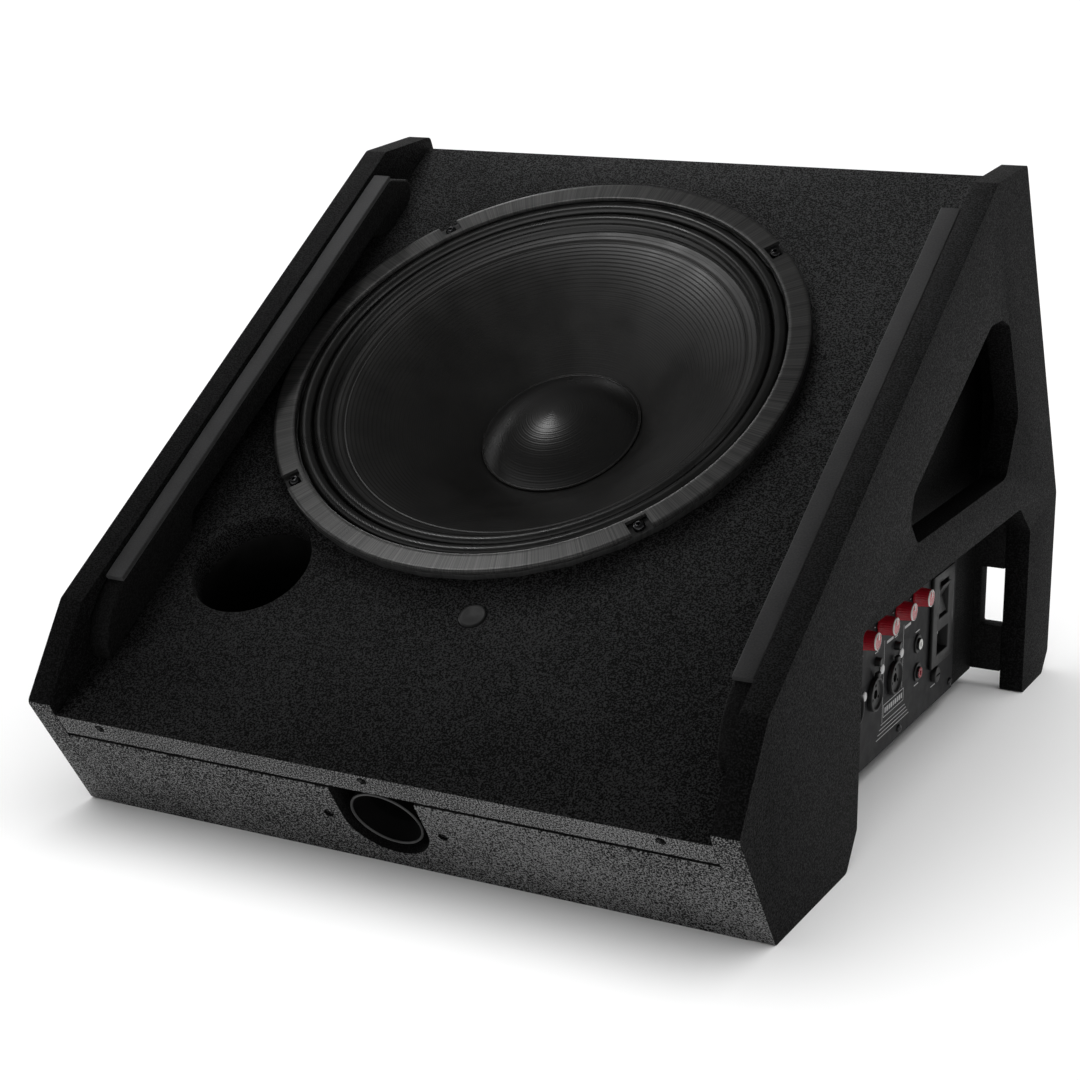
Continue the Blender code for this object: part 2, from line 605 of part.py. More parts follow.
def panel_holes():
    """Every opening in the amplifier panel: (y, z, radius)."""
    holes = [(y, KNOB_Z, 0.0034) for y in KNOB_YS]
    holes += [(y, JACK_Z, 0.0119) for y in (OUTPUT_Y, *JACK_YS)]
    holes += [(y + 0.004, BUTTON_Z, 0.0036) for y in JACK_YS]
    holes += [(y, z, 0.0046) for y, z in PHONO_YS_ZS]
    holes.append((*FUSE_YZ, 0.0051))
    return holes


def amp_panel():
    outline = [place(AMP_Y[0], AMP_Z[0]), place(AMP_Y[1], AMP_Z[0]), place(AMP_Y[1], AMP_Z[1]),
               place(AMP_Y[0], AMP_Z[1])]
    inlet = [place(INLET_Y - 0.020, INLET_Z - 0.032), place(INLET_Y + 0.020, INLET_Z - 0.032),
             place(INLET_Y + 0.020, INLET_Z + 0.032), place(INLET_Y - 0.020, INLET_Z + 0.032)]
    circles = [arc(place(y, z), radius, 0, 337.5, 15) for y, z, radius in panel_holes()]
    slab("amp_panel", outline, AMP_X, AMP_FACE, PANEL, holes=[inlet, *circles])


def sockets():
    jack("xlr_output", OUTPUT_Y, JACK_Z, BLACK_PLASTIC)
    for index, y in enumerate(JACK_YS, start=1):
        jack(f"combo_jack_{index}", y, JACK_Z, BLACK_PLASTIC)
        latch_tab(f"latch_tab_{index}", y, JACK_Z)
        button = [(0.0, 0.0042), (0.0026, 0.0042), (0.0032, 0.0036), (0.0032, -0.008), (0.0, -0.008)]
        turned(f"input_button_{index}", button, side_matrix(AMP_FACE, y + 0.004, BUTTON_Z), BLACK_PLASTIC,
               steps=20)
    socket = [(0.0, -0.006), (0.0016, -0.006), (0.0016, 0.0032), (0.0041, 0.0034), (0.0045, 0.0030),
              (0.0045, 0.0014),
              (0.0066, 0.0014), (0.0070, 0.0010), (0.0070, GAP), (0.0043, GAP), (0.0043, -0.012),
              (0.0, -0.012)]
    for label, (y, z), mat in (("white", PHONO_YS_ZS[0], WHITE_PLASTIC), ("red", PHONO_YS_ZS[1], RED)):
        turned(f"phono_socket_{label}", socket, side_matrix(AMP_FACE, y, z), mat, steps=16)
    fuse = [(0.0, 0.0040), (0.0050, 0.0040), (0.0062, 0.0030), (0.0062, GAP), (0.0048, GAP), (0.0048, -0.018),
            (0.0, -0.018)]
    turned("fuse_cap", fuse, side_matrix(AMP_FACE, *FUSE_YZ), BLACK_PLASTIC, steps=24)


def mains_inlet():
    """Moulded bezel with the mains inlet below and the switch well above."""
    frame = side_matrix(AMP_FACE, INLET_Y, INLET_Z)
    bezel = box("mains_inlet", (-0.0235, -0.0355, GAP), (0.0235, 0.0355, 0.0030), frame, BLACK_PLASTIC)
    body = box("inlet_body", (-0.0195, -0.0315, -0.032), (0.0195, 0.0315, 0.0015), frame, cutter=True)
    cut(bezel, body, "UNION")
    pocket = box("inlet_pocket", (-0.0125, -0.0270, -0.018), (0.0125, -0.0090, 0.01), frame, cutter=True)
    post = box("inlet_post", (-0.0075, -0.0225, -0.020), (0.0075, -0.0135, -0.004), frame, cutter=True)
    well = box("switch_well", (-0.0105, 0.0005, -0.014), (0.0105, 0.0285, 0.01), frame, cutter=True)
    cut(pocket, post)
    cut(bezel, pocket)
    cut(bezel, well)
    rocker_at = side_matrix(AMP_FACE, INLET_Y, INLET_Z + 0.0145)
    wedge = [(-0.0118, 0.0018), (0.0, -0.0010), (0.0118, 0.0050), (0.0118, -0.0010), (0.0040, -0.0085),
             (-0.0040, -0.0085), (-0.0118, -0.0030)]
    y_axis_up = Matrix(((0, 0, 1, -0.0092), (1, 0, 0, 0), (0, 1, 0, 0), (0, 0, 0, 1)))
    shape = flat_curve("rocker_outline", wedge, 0.0184, rocker_at @ y_axis_up)
    bpy.context.view_layer.update()
    evaluated = shape.evaluated_get(bpy.context.evaluated_depsgraph_get())
    bm = bmesh.new()
    bm.from_mesh(evaluated.to_mesh())
    bmesh.ops.remove_doubles(bm, verts=bm.verts, dist=0.00001)
    bm.transform(rocker_at.inverted() @ shape.matrix_world)
    bpy.data.objects.remove(shape)
    mesh_object("rocker_switch", bm, rocker_at, BLACK_PLASTIC)


def electronics():
    """What sits behind the panel: tray, circuit board, transformer and heat sink."""
    frame = side_matrix(0.0, 0.0, 0.0)
    y_low, y_high = AMP_WINDOW_Y[0] + 0.0005, AMP_WINDOW_Y[1] - 0.0005
    z_low, z_high = AMP_WINDOW_Z[0] + 0.0005, AMP_WINDOW_Z[1] - 0.0005
    tray = box("amp_tray", (y_low, z_low, 0.118), (y_high, z_high, AMP_X - GAP), frame, STEEL)
    cut(tray, box("tray_hollow", (y_low + 0.0015, z_low + 0.0015, 0.1195),
                  (y_high - 0.0015, z_high - 0.0015, 0.25), frame, cutter=True))
    box("amp_board", (y_low + 0.003, z_low + 0.003, 0.1840), (0.378, z_high - 0.003, 0.1856), frame, BOARD)
    toroid = [(0.034, 0.150), (0.038, 0.146), (0.038, 0.126), (0.034, 0.122), (0.012, 0.122), (0.010, 0.126),
              (0.010, 0.146), (0.012, 0.150)]
    turned("transformer", toroid, side_matrix(0.0, 0.275, 0.086), COIL, steps=24)
    comb = [(0.330, 0.122), (0.372, 0.122), (0.372, 0.176)]
    fins = 4
    pitch = 0.042 / (2 * fins - 1)
    for i in range(fins):
        right = 0.372 - 2 * i * pitch
        if i:
            comb.append((right, 0.176))
        comb.append((right - pitch, 0.176))
        if i < fins - 1:
            comb += [(right - pitch, 0.128), (right - 2 * pitch, 0.128)]
    outline = [(FOOT_Y + y, x) for y, x in comb]
    upright = Matrix(((0, 1, 0, 0), (1, 0, 0, 0), (0, 0, -1, 0.122), (0, 0, 0, 1)))
    shape = flat_curve("heat_sink_outline", outline, 0.074, upright)
    bpy.context.view_layer.update()
    evaluated = shape.evaluated_get(bpy.context.evaluated_depsgraph_get())
    bm = bmesh.new()
    bm.from_mesh(evaluated.to_mesh())
    bmesh.ops.remove_doubles(bm, verts=bm.verts, dist=0.00001)
    bm.transform(shape.matrix_world)
    bpy.data.objects.remove(shape)
    mesh_object("heat_sink", bm, Matrix.Identity(4), ALUMINIUM)


# ---- build --------------------------------------------------------------------------------------
for existing in list(bpy.data.objects):
    bpy.data.objects.remove(existing)

MODEL = bpy.data.collections.new("stage_monitor_wedge")
CUTTERS = bpy.data.collections.new("cutters")
bpy.context.scene.collection.children.link(MODEL)
bpy.context.scene.collection.children.link(CUTTERS)

PAINT = material("textured_paint", (0.018, 0.018, 0.018), 0.6)
FOAM = material("foam_strip", (0.05, 0.05, 0.052), 0.85)
BLACK_PLASTIC = material("black_plastic", (0.012, 0.012, 0.012), 0.4)
WHITE_PLASTIC = material("white_plastic", (0.75, 0.75, 0.73), 0.4)
RED = material("red_plastic", (0.45, 0.01, 0.02), 0.3)
STEEL = material("steel", (0.45, 0.45, 0.46), 0.35, 1.0)
ALUMINIUM = material("aluminium", (0.7, 0.7, 0.7), 0.4, 1.0)
RING_METAL = material("ring_metal", (0.10, 0.10, 0.10), 0.35, 0.6)
CAST = material("basket", (0.03, 0.03, 0.03), 0.5, 0.3)
RUBBER = material("surround_rubber", (0.015, 0.015, 0.015), 0.45)
CONE = material("cone_paper", (0.02, 0.02, 0.02), 0.4)
COIL = material("copper_winding", (0.5, 0.22, 0.08), 0.4, 0.8)
SPIDER = material("spider_cloth", (0.45, 0.30, 0.12), 0.9)
MAGNET = material("ferrite", (0.03, 0.03, 0.032), 0.6)
PANEL = material("panel_paint", (0.02, 0.02, 0.022), 0.45)
BOARD = material("circuit_board", (0.02, 0.12, 0.05), 0.5)
WADDING = material("wadding", (0.6, 0.6, 0.58), 0.95)

side_panels()
baffle()
front_board()
pole_cup()
body_boards()
ledges()
port_tube()
wadding()
woofer_frame()
trim_ring()
moving_assembly()
motor()
amp_panel()
sockets()
for number, knob_y in enumerate(KNOB_YS, start=1):
    knob(f"gain_knob_{number}", knob_y)
mains_inlet()
electronics()
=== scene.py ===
"""Looks of the stage monitor wedge: fine meshes, materials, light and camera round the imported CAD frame.

Metres, in the CAD's frame. Slope coordinates are used for everything on the baffle and the front board:
s runs up the baffle from the front edge of the floor line, and n stands square to the baffle.
"""
import json
import math

import bmesh
import bpy
from mathutils import Matrix, Vector, noise

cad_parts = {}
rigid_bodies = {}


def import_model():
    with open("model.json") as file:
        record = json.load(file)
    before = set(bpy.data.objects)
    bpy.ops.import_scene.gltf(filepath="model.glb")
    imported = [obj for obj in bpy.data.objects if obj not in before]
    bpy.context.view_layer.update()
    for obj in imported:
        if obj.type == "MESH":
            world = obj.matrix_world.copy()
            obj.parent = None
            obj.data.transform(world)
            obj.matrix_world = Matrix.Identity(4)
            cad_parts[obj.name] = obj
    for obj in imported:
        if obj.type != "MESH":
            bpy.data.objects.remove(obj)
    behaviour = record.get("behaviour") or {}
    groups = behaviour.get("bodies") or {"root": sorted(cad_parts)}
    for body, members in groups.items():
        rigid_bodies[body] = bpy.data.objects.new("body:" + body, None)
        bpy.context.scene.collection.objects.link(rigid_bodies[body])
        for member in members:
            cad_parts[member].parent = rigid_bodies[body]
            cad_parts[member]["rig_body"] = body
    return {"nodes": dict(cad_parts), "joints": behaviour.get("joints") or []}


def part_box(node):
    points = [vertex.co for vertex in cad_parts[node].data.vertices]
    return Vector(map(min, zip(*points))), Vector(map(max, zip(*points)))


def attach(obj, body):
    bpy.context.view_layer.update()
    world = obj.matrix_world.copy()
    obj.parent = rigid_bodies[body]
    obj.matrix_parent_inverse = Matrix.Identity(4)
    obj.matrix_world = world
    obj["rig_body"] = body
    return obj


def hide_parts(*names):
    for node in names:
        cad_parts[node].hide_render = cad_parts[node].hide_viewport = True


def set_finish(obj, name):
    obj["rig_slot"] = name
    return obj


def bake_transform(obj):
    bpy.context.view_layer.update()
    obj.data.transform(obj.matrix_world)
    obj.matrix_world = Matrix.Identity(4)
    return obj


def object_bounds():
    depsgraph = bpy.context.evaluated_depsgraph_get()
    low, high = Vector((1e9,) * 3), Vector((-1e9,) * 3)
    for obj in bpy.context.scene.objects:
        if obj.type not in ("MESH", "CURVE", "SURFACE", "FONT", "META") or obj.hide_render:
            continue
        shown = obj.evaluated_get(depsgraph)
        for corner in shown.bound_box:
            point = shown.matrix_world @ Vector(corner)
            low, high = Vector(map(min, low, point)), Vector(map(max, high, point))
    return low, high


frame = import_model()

CAD_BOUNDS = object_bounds()
NODES = frame["nodes"]

# ---- the frame, read back from the CAD ----
AXIS = Vector(next(j["axis"] for j in frame["joints"] if j["name"] == "cone_travel"))
SLOPE = math.atan2(-AXIS.y, AXIS.z)   # baffle angle above the floor
FRONT_CORNER = 0.106                  # n of the side panel's foremost corner
FOOT_Y = CAD_BOUNDS[0].y + FRONT_CORNER * math.sin(SLOPE)
FORWARD = Vector((0.0, -math.cos(SLOPE), -math.sin(SLOPE)))   # out of the front board
CUP_N, CUP_SCREW_N = 0.046, 0.0445    # n of the pole cup and of its screws
INSERT_N = 0.0905                     # n of the grille inserts
FRONT_DEPTH = 0.004                   # faces this close to the front count as the front's


def slope(s, n):
    """Slope coordinates to (Y, Z)."""
    return (FOOT_Y + s * math.cos(SLOPE) - n * math.sin(SLOPE), s * math.sin(SLOPE) + n * math.cos(SLOPE))


def slope_matrix(x, s, n):
    """Frame with +Y up the baffle and +Z square to it."""
    y, z = slope(s, n)
    return Matrix.Translation((x, y, z)) @ Matrix.Rotation(SLOPE, 4, "X")


def front_matrix(x, n, s=0.0):
    """Frame with +Z out of the front board."""
    y, z = slope(s, n)
    return Matrix.Translation((x, y, z)) @ Matrix.Rotation(SLOPE + math.pi / 2, 4, "X")


def side_matrix(x, y, z):
    """Frame with +Z along world +X, +X along world +Y and +Y upright, at a world point."""
    axes = Matrix(((0, 0, 1, 0), (1, 0, 0, 0), (0, 1, 0, 0), (0, 0, 0, 1)))
    return Matrix.Translation((x, y, z)) @ axes


def middle(node):
    """Centre of a CAD node's box."""
    low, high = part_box(node)
    return (low + high) / 2


def extent(node, matrix):
    """Lowest and highest corner of a CAD node in a local frame."""
    back = matrix.inverted()
    points = [back @ v.co for v in NODES[node].data.vertices]
    return (Vector(min(p[i] for p in points) for i in range(3)),
            Vector(max(p[i] for p in points) for i in range(3)))


BAFFLE = slope_matrix(0.0, 0.0, 0.0)    # the baffle's frame: X, s and n


# ---- materials ----
class Surface:
    """A Principled material being put together, with short calls for the nodes it needs."""

    def __init__(self, name, slot, roughness=0.5, metallic=0.0):
        self.material = bpy.data.materials.new(name)
        self.material.use_nodes = True
        self.material["slot"] = slot
        self.tree = self.material.node_tree
        self.shader = self.tree.nodes["Principled BSDF"]
        self.set("Roughness", roughness)
        self.set("Metallic", metallic)

    def set(self, socket, value):
        self.shader.inputs[socket].default_value = value

    def node(self, kind, inputs, **properties):
        made = self.tree.nodes.new("ShaderNode" + kind)
        for key, value in properties.items():
            setattr(made, key, value)
        for key, value in inputs.items():
            if isinstance(value, bpy.types.NodeSocket):
                self.tree.links.new(value, made.inputs[key])
            else:
                made.inputs[key].default_value = value
        return made

    def place(self, stretch=(1, 1, 1)):
        """The piece's own coordinates in metres, so that a pattern moves with it."""
        own = self.node("TexCoord", {}).outputs["Object"]
        return self.node("Mapping", {"Vector": own, "Scale": stretch}).outputs["Vector"]

    def polar(self):
        """(radius, unit direction) round the piece's own Z axis."""
        flat = self.node("VectorMath", {0: self.place(), 1: (1, 1, 0)}, operation="MULTIPLY").outputs[0]
        radius = self.node("VectorMath", {0: flat}, operation="LENGTH").outputs["Value"]
        direction = self.node("VectorMath", {0: flat}, operation="NORMALIZE").outputs[0]
        return radius, direction

    def grain(self, vector, size, detail=2.0, roughness=0.55):
        """Noise with features of about this size, in metres."""
        values = {"Vector": vector, "Scale": 1 / size, "Detail": detail, "Roughness": roughness}
        return self.node("TexNoise", values).outputs["Fac"]

    def math(self, operation, a, b=0.0):
        return self.node("Math", {0: a, 1: b}, operation=operation).outputs[0]

    def span(self, value, low, high, to_low=0.0, to_high=1.0):
        values = {"Value": value, "From Min": low, "From Max": high, "To Min": to_low, "To Max": to_high}
        return self.node("MapRange", values).outputs["Result"]

    def tint(self, share, dark, light):
        """Base colour between two colours, each (r, g, b) or one grey level."""
        ends = [(c, c, c, 1.0) if isinstance(c, float) else (*c, 1.0) for c in (dark, light)]
        mixed = self.node("Mix", {0: share, 6: ends[0], 7: ends[1]}, data_type="RGBA").outputs[2]
        self.tree.links.new(mixed, self.shader.inputs["Base Color"])

    def rough(self, value):
        self.tree.links.new(value, self.shader.inputs["Roughness"])

    def bump(self, height, depth, strength=1.0, below=None):
        """Bump from a 0 to 1 height, depth in metres, laid over an earlier bump."""
        values = {"Height": height, "Distance": depth, "Strength": strength}
        if below is not None:
            values["Normal"] = below
        normal = self.node("Bump", values).outputs["Normal"]
        self.tree.links.new(normal, self.shader.inputs["Normal"])
        return normal


def textured_paint(name, dark, light, share=0.5, specular=0.12):
    """Sprayed structure paint: millimetre grains whose raised tips are coloured lighter, a painted highlight
    for light catching the texture, with faint larger drifts.
    """
    paint = Surface(name, "cabinet_paint")
    paint.set("Specular IOR Level", specular)
    place = paint.place()
    grains = paint.grain(place, 0.0011, 1.5, 0.6)
    drift = paint.grain(place, 0.11, 3.0)
    lean = paint.math("ADD", grains, paint.span(drift, 0.3, 0.7, -0.035, 0.035))
    middle_tone = 0.5 + (0.5 - share) * 0.3
    # raised grain tips coloured lighter: a painted highlight on the texture
    lit_grain_tips = paint.span(lean, middle_tone - 0.06, middle_tone + 0.075)
    paint.tint(lit_grain_tips, dark, light)
    paint.rough(paint.span(grains, 0.35, 0.65, 0.85, 0.62))
    fine = paint.bump(paint.grain(place, 0.0009, 2.0), 0.00012, 0.5)
    paint.bump(grains, 0.0006, 0.8, below=fine)
    return paint.material


def foam_surface():
    foam = Surface("ledge_foam", "ledge_foam", 0.9)
    foam.set("Specular IOR Level", 0.2)
    foam.set("Sheen Weight", 0.15)
    place = foam.place()
    cells = foam.grain(place, 0.0012, 3.0)
    drift = foam.grain(place, 0.03)
    tone = foam.math("ADD", cells, foam.span(drift, 0.3, 0.7, -0.1, 0.1))
    foam.tint(foam.span(tone, 0.3, 0.7), (0.019, 0.019, 0.0195), (0.034, 0.034, 0.035))
    foam.bump(cells, 0.0002, 0.6)
    return foam.material


def moulded(name, slot, dark, light, roughness, grain=0.0006, depth=0.00005, specular=0.5):
    """Injection moulded plastic: even colour with slight mottling, spark-eroded skin, varied gloss."""
    plastic = Surface(name, slot, roughness)
    plastic.set("Specular IOR Level", specular)
    place = plastic.place()
    skin = plastic.grain(place, grain, 2.0)
    drift = plastic.grain(place, 0.012, 3.0)
    plastic.tint(plastic.span(drift, 0.3, 0.7), dark, light)
    plastic.rough(plastic.span(drift, 0.3, 0.7, roughness - 0.06, roughness + 0.08))
    plastic.bump(skin, depth, 0.5)
    return plastic.material


def plated(name, slot, dark, light, roughness, stretch=(1, 1, 1), grain=0.0015):
    """Bare or plated metal: cloudy tone and fine drawn or turned lines along one direction."""
    metal = Surface(name, slot, roughness, 1.0)
    lines = metal.grain(metal.place(stretch), grain, 3.0)
    clouds = metal.grain(metal.place(), 0.02, 3.0)
    metal.tint(metal.span(clouds, 0.3, 0.7), dark, light)
    metal.rough(metal.span(lines, 0.3, 0.7, roughness - 0.08, roughness + 0.12))
    metal.bump(lines, 0.00004, 0.4)
    return metal.material


def turned_metal(name, slot, dark, light, roughness, metallic, ribs=220):
    """Metal with a fine grain that runs out from its axis."""
    metal = Surface(name, slot, roughness, metallic)
    spokes = metal.grain(metal.polar()[1], 1 / ribs, 2.0)
    sectors = metal.grain(metal.polar()[1], 8 / ribs, 2.0)
    tone = metal.math("ADD", metal.math("MULTIPLY", spokes, 0.75), metal.math("MULTIPLY", sectors, 0.25))
    metal.tint(metal.span(tone, 0.38, 0.62), dark, light)
    metal.rough(metal.span(sectors, 0.3, 0.7, roughness - 0.04, roughness + 0.04))
    metal.bump(spokes, 0.00004, 0.5)
    return metal.material


def ringed(name, slot, dark, light, roughness, pitch, depth, coat=0.0, specular=0.5, fibre=0.0012):
    """A turned sheet, such as a cone: fine rings round the axis, fibres, and a coating of uneven gloss."""
    sheet = Surface(name, slot, roughness)
    sheet.set("Specular IOR Level", specular)
    sheet.set("Coat Weight", coat)
    sheet.set("Coat Roughness", 0.25)
    radius = sheet.polar()[0]
    rings = sheet.math("SINE", sheet.math("MULTIPLY", radius, 2 * math.pi / pitch))
    fibres = sheet.grain(sheet.place(), fibre, 3.0, 0.6)
    clouds = sheet.grain(sheet.place(), 0.03, 3.0)
    tone = sheet.math("ADD", sheet.math("MULTIPLY", fibres, 0.6), sheet.math("MULTIPLY", clouds, 0.4))
    sheet.tint(sheet.span(tone, 0.35, 0.65), dark, light)
    sheet.rough(sheet.span(clouds, 0.3, 0.7, roughness - 0.05, roughness + 0.07))
    under = sheet.bump(rings, depth, 0.5)
    sheet.bump(fibres, 0.00001, 0.3, below=under)
    return sheet.material


def cloth_surface(name, slot, dark, light, thread):
    """Woven cloth: two crossed sets of threads."""
    cloth = Surface(name, slot, 0.9)
    cloth.set("Sheen Weight", 0.2)
    place = cloth.place()
    values = {"Vector": place, "Scale": 0.3 / thread, "Distortion": 1.2}
    warp = cloth.node("TexWave", values, bands_direction="X").outputs["Fac"]
    weft = cloth.node("TexWave", values, bands_direction="Y").outputs["Fac"]
    weave = cloth.math("MULTIPLY", warp, weft)
    cloth.tint(weave, dark, light)
    cloth.bump(weave, 0.0002, 0.6)
    return cloth.material


def wadding_surface():
    fluff = Surface("wadding", "wadding", 0.95)
    fluff.set("Sheen Weight", 0.4)
    fluff.set("Specular IOR Level", 0.2)
    place = fluff.place()
    strands = fluff.grain(fluff.place((1, 0.25, 1)), 0.002, 4.0, 0.7)
    lumps = fluff.grain(place, 0.02, 3.0)
    tone = fluff.math("MULTIPLY", fluff.math("ADD", strands, lumps), 0.5)
    fluff.tint(fluff.span(tone, 0.35, 0.65), (0.42, 0.41, 0.38), (0.74, 0.74, 0.71))
    fluff.bump(strands, 0.0008, 0.7)
    return fluff.material


def board_surface():
    board = Surface("circuit_board", "circuit_board", 0.35)
    place = board.place()
    cells = board.node("TexVoronoi", {"Vector": place, "Scale": 120.0}, distance="CHEBYCHEV")
    tracks = board.span(cells.outputs["Distance"], 0.42, 0.46)
    board.tint(tracks, (0.01, 0.09, 0.03), (0.035, 0.2, 0.07))
    board.bump(tracks, 0.00004, 0.5)
    return board.material


def winding_surface():
    wire = Surface("copper_winding", "copper_winding", 0.3, 0.85)
    place = wire.place()
    turns = wire.node("TexWave", {"Vector": place, "Scale": 260.0, "Distortion": 1.5}).outputs["Fac"]
    clouds = wire.grain(place, 0.01)
    wire.tint(wire.span(clouds, 0.3, 0.7), (0.42, 0.16, 0.05), (0.62, 0.29, 0.11))
    wire.bump(turns, 0.00025, 0.7)
    return wire.material


# One sprayed black paint in five copies that differ in how light their grains are, standing for the light
# each face gets: the front faces and the baffle's front strip lightest, a painted light; the baffle middling;
# the sides dark; the inside faces darkest, a painted shade.
PAINT = textured_paint("paint_sides", 0.001, (0.009, 0.009, 0.0092), 0.42, specular=0.065)
PAINT_FRONT_LIT = textured_paint("paint_front_painted_light", 0.0015, (0.175, 0.175, 0.176), 0.46)
PAINT_STRIP_LIT = textured_paint("paint_strip_painted_light", 0.0015, (0.2, 0.2, 0.201), 0.46)
PAINT_BAFFLE = textured_paint("paint_baffle", 0.0015, (0.029, 0.029, 0.0295), 0.44, specular=0.07)
PAINT_INSIDE_SHADED = textured_paint("paint_inside_painted_shade", 0.0015, 0.007, 0.45)
FOAM = foam_surface()
BLACK = moulded("black_plastic", "black_plastic", 0.004, 0.009, 0.42, specular=0.3)
CUP = moulded("cup_plastic", "black_plastic", 0.0008, 0.0018, 0.75, specular=0.08)
# lighter copy of the black plastic for the cup's rim lip: a painted highlight
CUP_RIM_HIGHLIGHT = moulded("cup_rim_highlight_plastic", "black_plastic", 0.022, 0.04, 0.42)
RED = moulded("red_plastic", "red_plastic", (0.24, 0.005, 0.012), (0.34, 0.01, 0.02), 0.24)
WHITE = moulded("white_plastic", "white_plastic", (0.66, 0.66, 0.64), (0.8, 0.8, 0.78), 0.35)
LAMP = moulded("lamp_lens", "white_plastic", 0.5, 0.66, 0.2)
PRINT = moulded("panel_print", "white_plastic", 0.34, 0.5, 0.55, 0.0004)
PANEL = moulded("panel_paint", "panel_paint", (0.005, 0.005, 0.0055), (0.01, 0.01, 0.011), 0.55,
                0.0009, 0.00009, specular=0.15)
STEEL = plated("steel", "steel", (0.3, 0.3, 0.31), (0.5, 0.5, 0.51), 0.32)
SCREW = plated("screw_black", "steel", (0.028, 0.028, 0.029), (0.06, 0.06, 0.062), 0.26, grain=0.0008)
CONTACT = plated("contact_plating", "steel", 0.5, (0.68, 0.68, 0.67), 0.22, grain=0.0007)
INSERT = plated("insert_plating", "steel", 0.035, 0.075, 0.28, grain=0.0008)
ALUMINIUM = plated("aluminium", "aluminium", (0.6, 0.6, 0.61), (0.76, 0.76, 0.77), 0.38, (1, 1, 0.03))
RING = turned_metal("ring_metal", "ring_metal", 0.043, (0.102, 0.101, 0.099), 0.32, 0.6)
CAST = turned_metal("basket_metal", "basket_metal", 0.016, 0.036, 0.55, 0.2, 90)
RUBBER = ringed("surround_rubber", "surround_rubber", 0.006, (0.013, 0.013, 0.012), 0.3,
                0.0008, 0.00002, specular=0.6)
CONE = ringed("cone_paper", "cone_paper", (0.0075, 0.0072, 0.0068), (0.0135, 0.013, 0.012), 0.38, 0.0014,
              0.00003)
CAP = ringed("cap_paper", "cone_paper", (0.0065, 0.0062, 0.0058), (0.012, 0.0115, 0.0108), 0.3, 0.0016,
             0.00004, coat=0.3)
# lighter than the cap paper: a painted highlight for the bright line round the dust cap
BEAD_HIGHLIGHT = moulded("glue_bead_highlight", "cone_paper", (0.03, 0.029, 0.028), (0.055, 0.053, 0.05), 0.25)
FERRITE = moulded("ferrite", "ferrite", (0.02, 0.02, 0.022), (0.042, 0.042, 0.045), 0.55, 0.0008, 0.00012)
SPIDER = cloth_surface("spider_cloth", "spider_cloth", (0.3, 0.18, 0.06), (0.52, 0.36, 0.16), 0.0009)
WINDING = winding_surface()
BOARD = board_surface()
FLUFF = wadding_surface()


# ---- mesh helpers ----
def fillet(points, radius, count=4, closed=True):
    """Round the corners of a 2D outline. A corner is cut back at most 0.45 of its shorter side."""
    made = []
    last = len(points) - 1
    for i, point in enumerate(points):
        here = Vector(point)
        if not closed and i in (0, last):
            made.append(tuple(here))
            continue
        before, after = Vector(points[i - 1]) - here, Vector(points[(i + 1) % len(points)]) - here
        turn = math.pi - before.angle(after, math.pi)
        if turn < 0.12:
            made.append(tuple(here))
            continue
        back = min(radius * math.tan(turn / 2), 0.45 * before.length, 0.45 * after.length)
        start, end = here + before.normalized() * back, here + after.normalized() * back
        for k in range(count + 1):
            t = k / count
            made.append(tuple(start * (1 - t) ** 2 + here * 2 * t * (1 - t) + end * t ** 2))
    return made


def arc(centre, radius, start, end, count):
    """Points of an arc, angles in degrees."""
    turns = [math.radians(start + (end - start) * i / count) for i in range(count + 1)]
    return [(centre[0] + radius * math.cos(t), centre[1] + radius * math.sin(t)) for t in turns]


def linked(name, data):
    """A new object in the scene."""
    obj = bpy.data.objects.new(name, data)
    bpy.context.scene.collection.objects.link(obj)
    return obj


def from_bmesh(name, bm, matrix=Matrix.Identity(4), sharp=35.0):
    """An object from a bmesh, with smooth shading broken at sharp edges."""
    bmesh.ops.recalc_face_normals(bm, faces=bm.faces)
    mesh = bpy.data.meshes.new(name)
    bm.to_mesh(mesh)
    bm.free()
    mesh.shade_smooth()
    mesh.set_sharp_from_angle(angle=math.radians(sharp))
    obj = linked(name, mesh)
    obj.matrix_world = matrix
    return obj


def lathe(bm, profile, steps, turn=Matrix.Identity(4)):
    """Turn a closed (radius, height) profile about local Z. A profile may start and end on the axis."""
    rings = []
    for radius, height in profile:
        count = steps if radius > 1e-6 else 1
        rings.append([bm.verts.new(turn @ Vector((radius * math.cos(2 * math.pi * i / count),
                                                  radius * math.sin(2 * math.pi * i / count), height)))
                      for i in range(count)])
    for a, b in zip(rings, rings[1:] + rings[:1]):
        if len(a) == 1 and len(b) == 1:
            continue
        for i in range(steps):
            corners = [a[i % len(a)], a[(i + 1) % len(a)], b[(i + 1) % len(b)], b[i % len(b)]]
            bm.faces.new([v for k, v in enumerate(corners) if v not in corners[:k]])


def turned(name, profile, matrix, steps=64, sharp=35.0):
    bm = bmesh.new()
    lathe(bm, profile, steps)
    return from_bmesh(name, bm, matrix, sharp)


def add_box(bm, low, high, matrix=Matrix.Identity(4), bevel=0.0):
    """Add a box between two corners of a local frame, its edges rounded."""
    made = bmesh.ops.create_cube(bm, size=1.0)["verts"]
    low, high = Vector(low), Vector(high)
    for v in made:
        v.co = Vector(low[i] + (high[i] - low[i]) * (v.co[i] + 0.5) for i in range(3))
    if bevel:
        edges = {e for v in made for e in v.link_edges}
        made = bmesh.ops.bevel(bm, geom=list(edges), offset=bevel, segments=2, profile=0.5,
                               affect="EDGES")["verts"]
    bmesh.ops.transform(bm, matrix=matrix, verts=made)


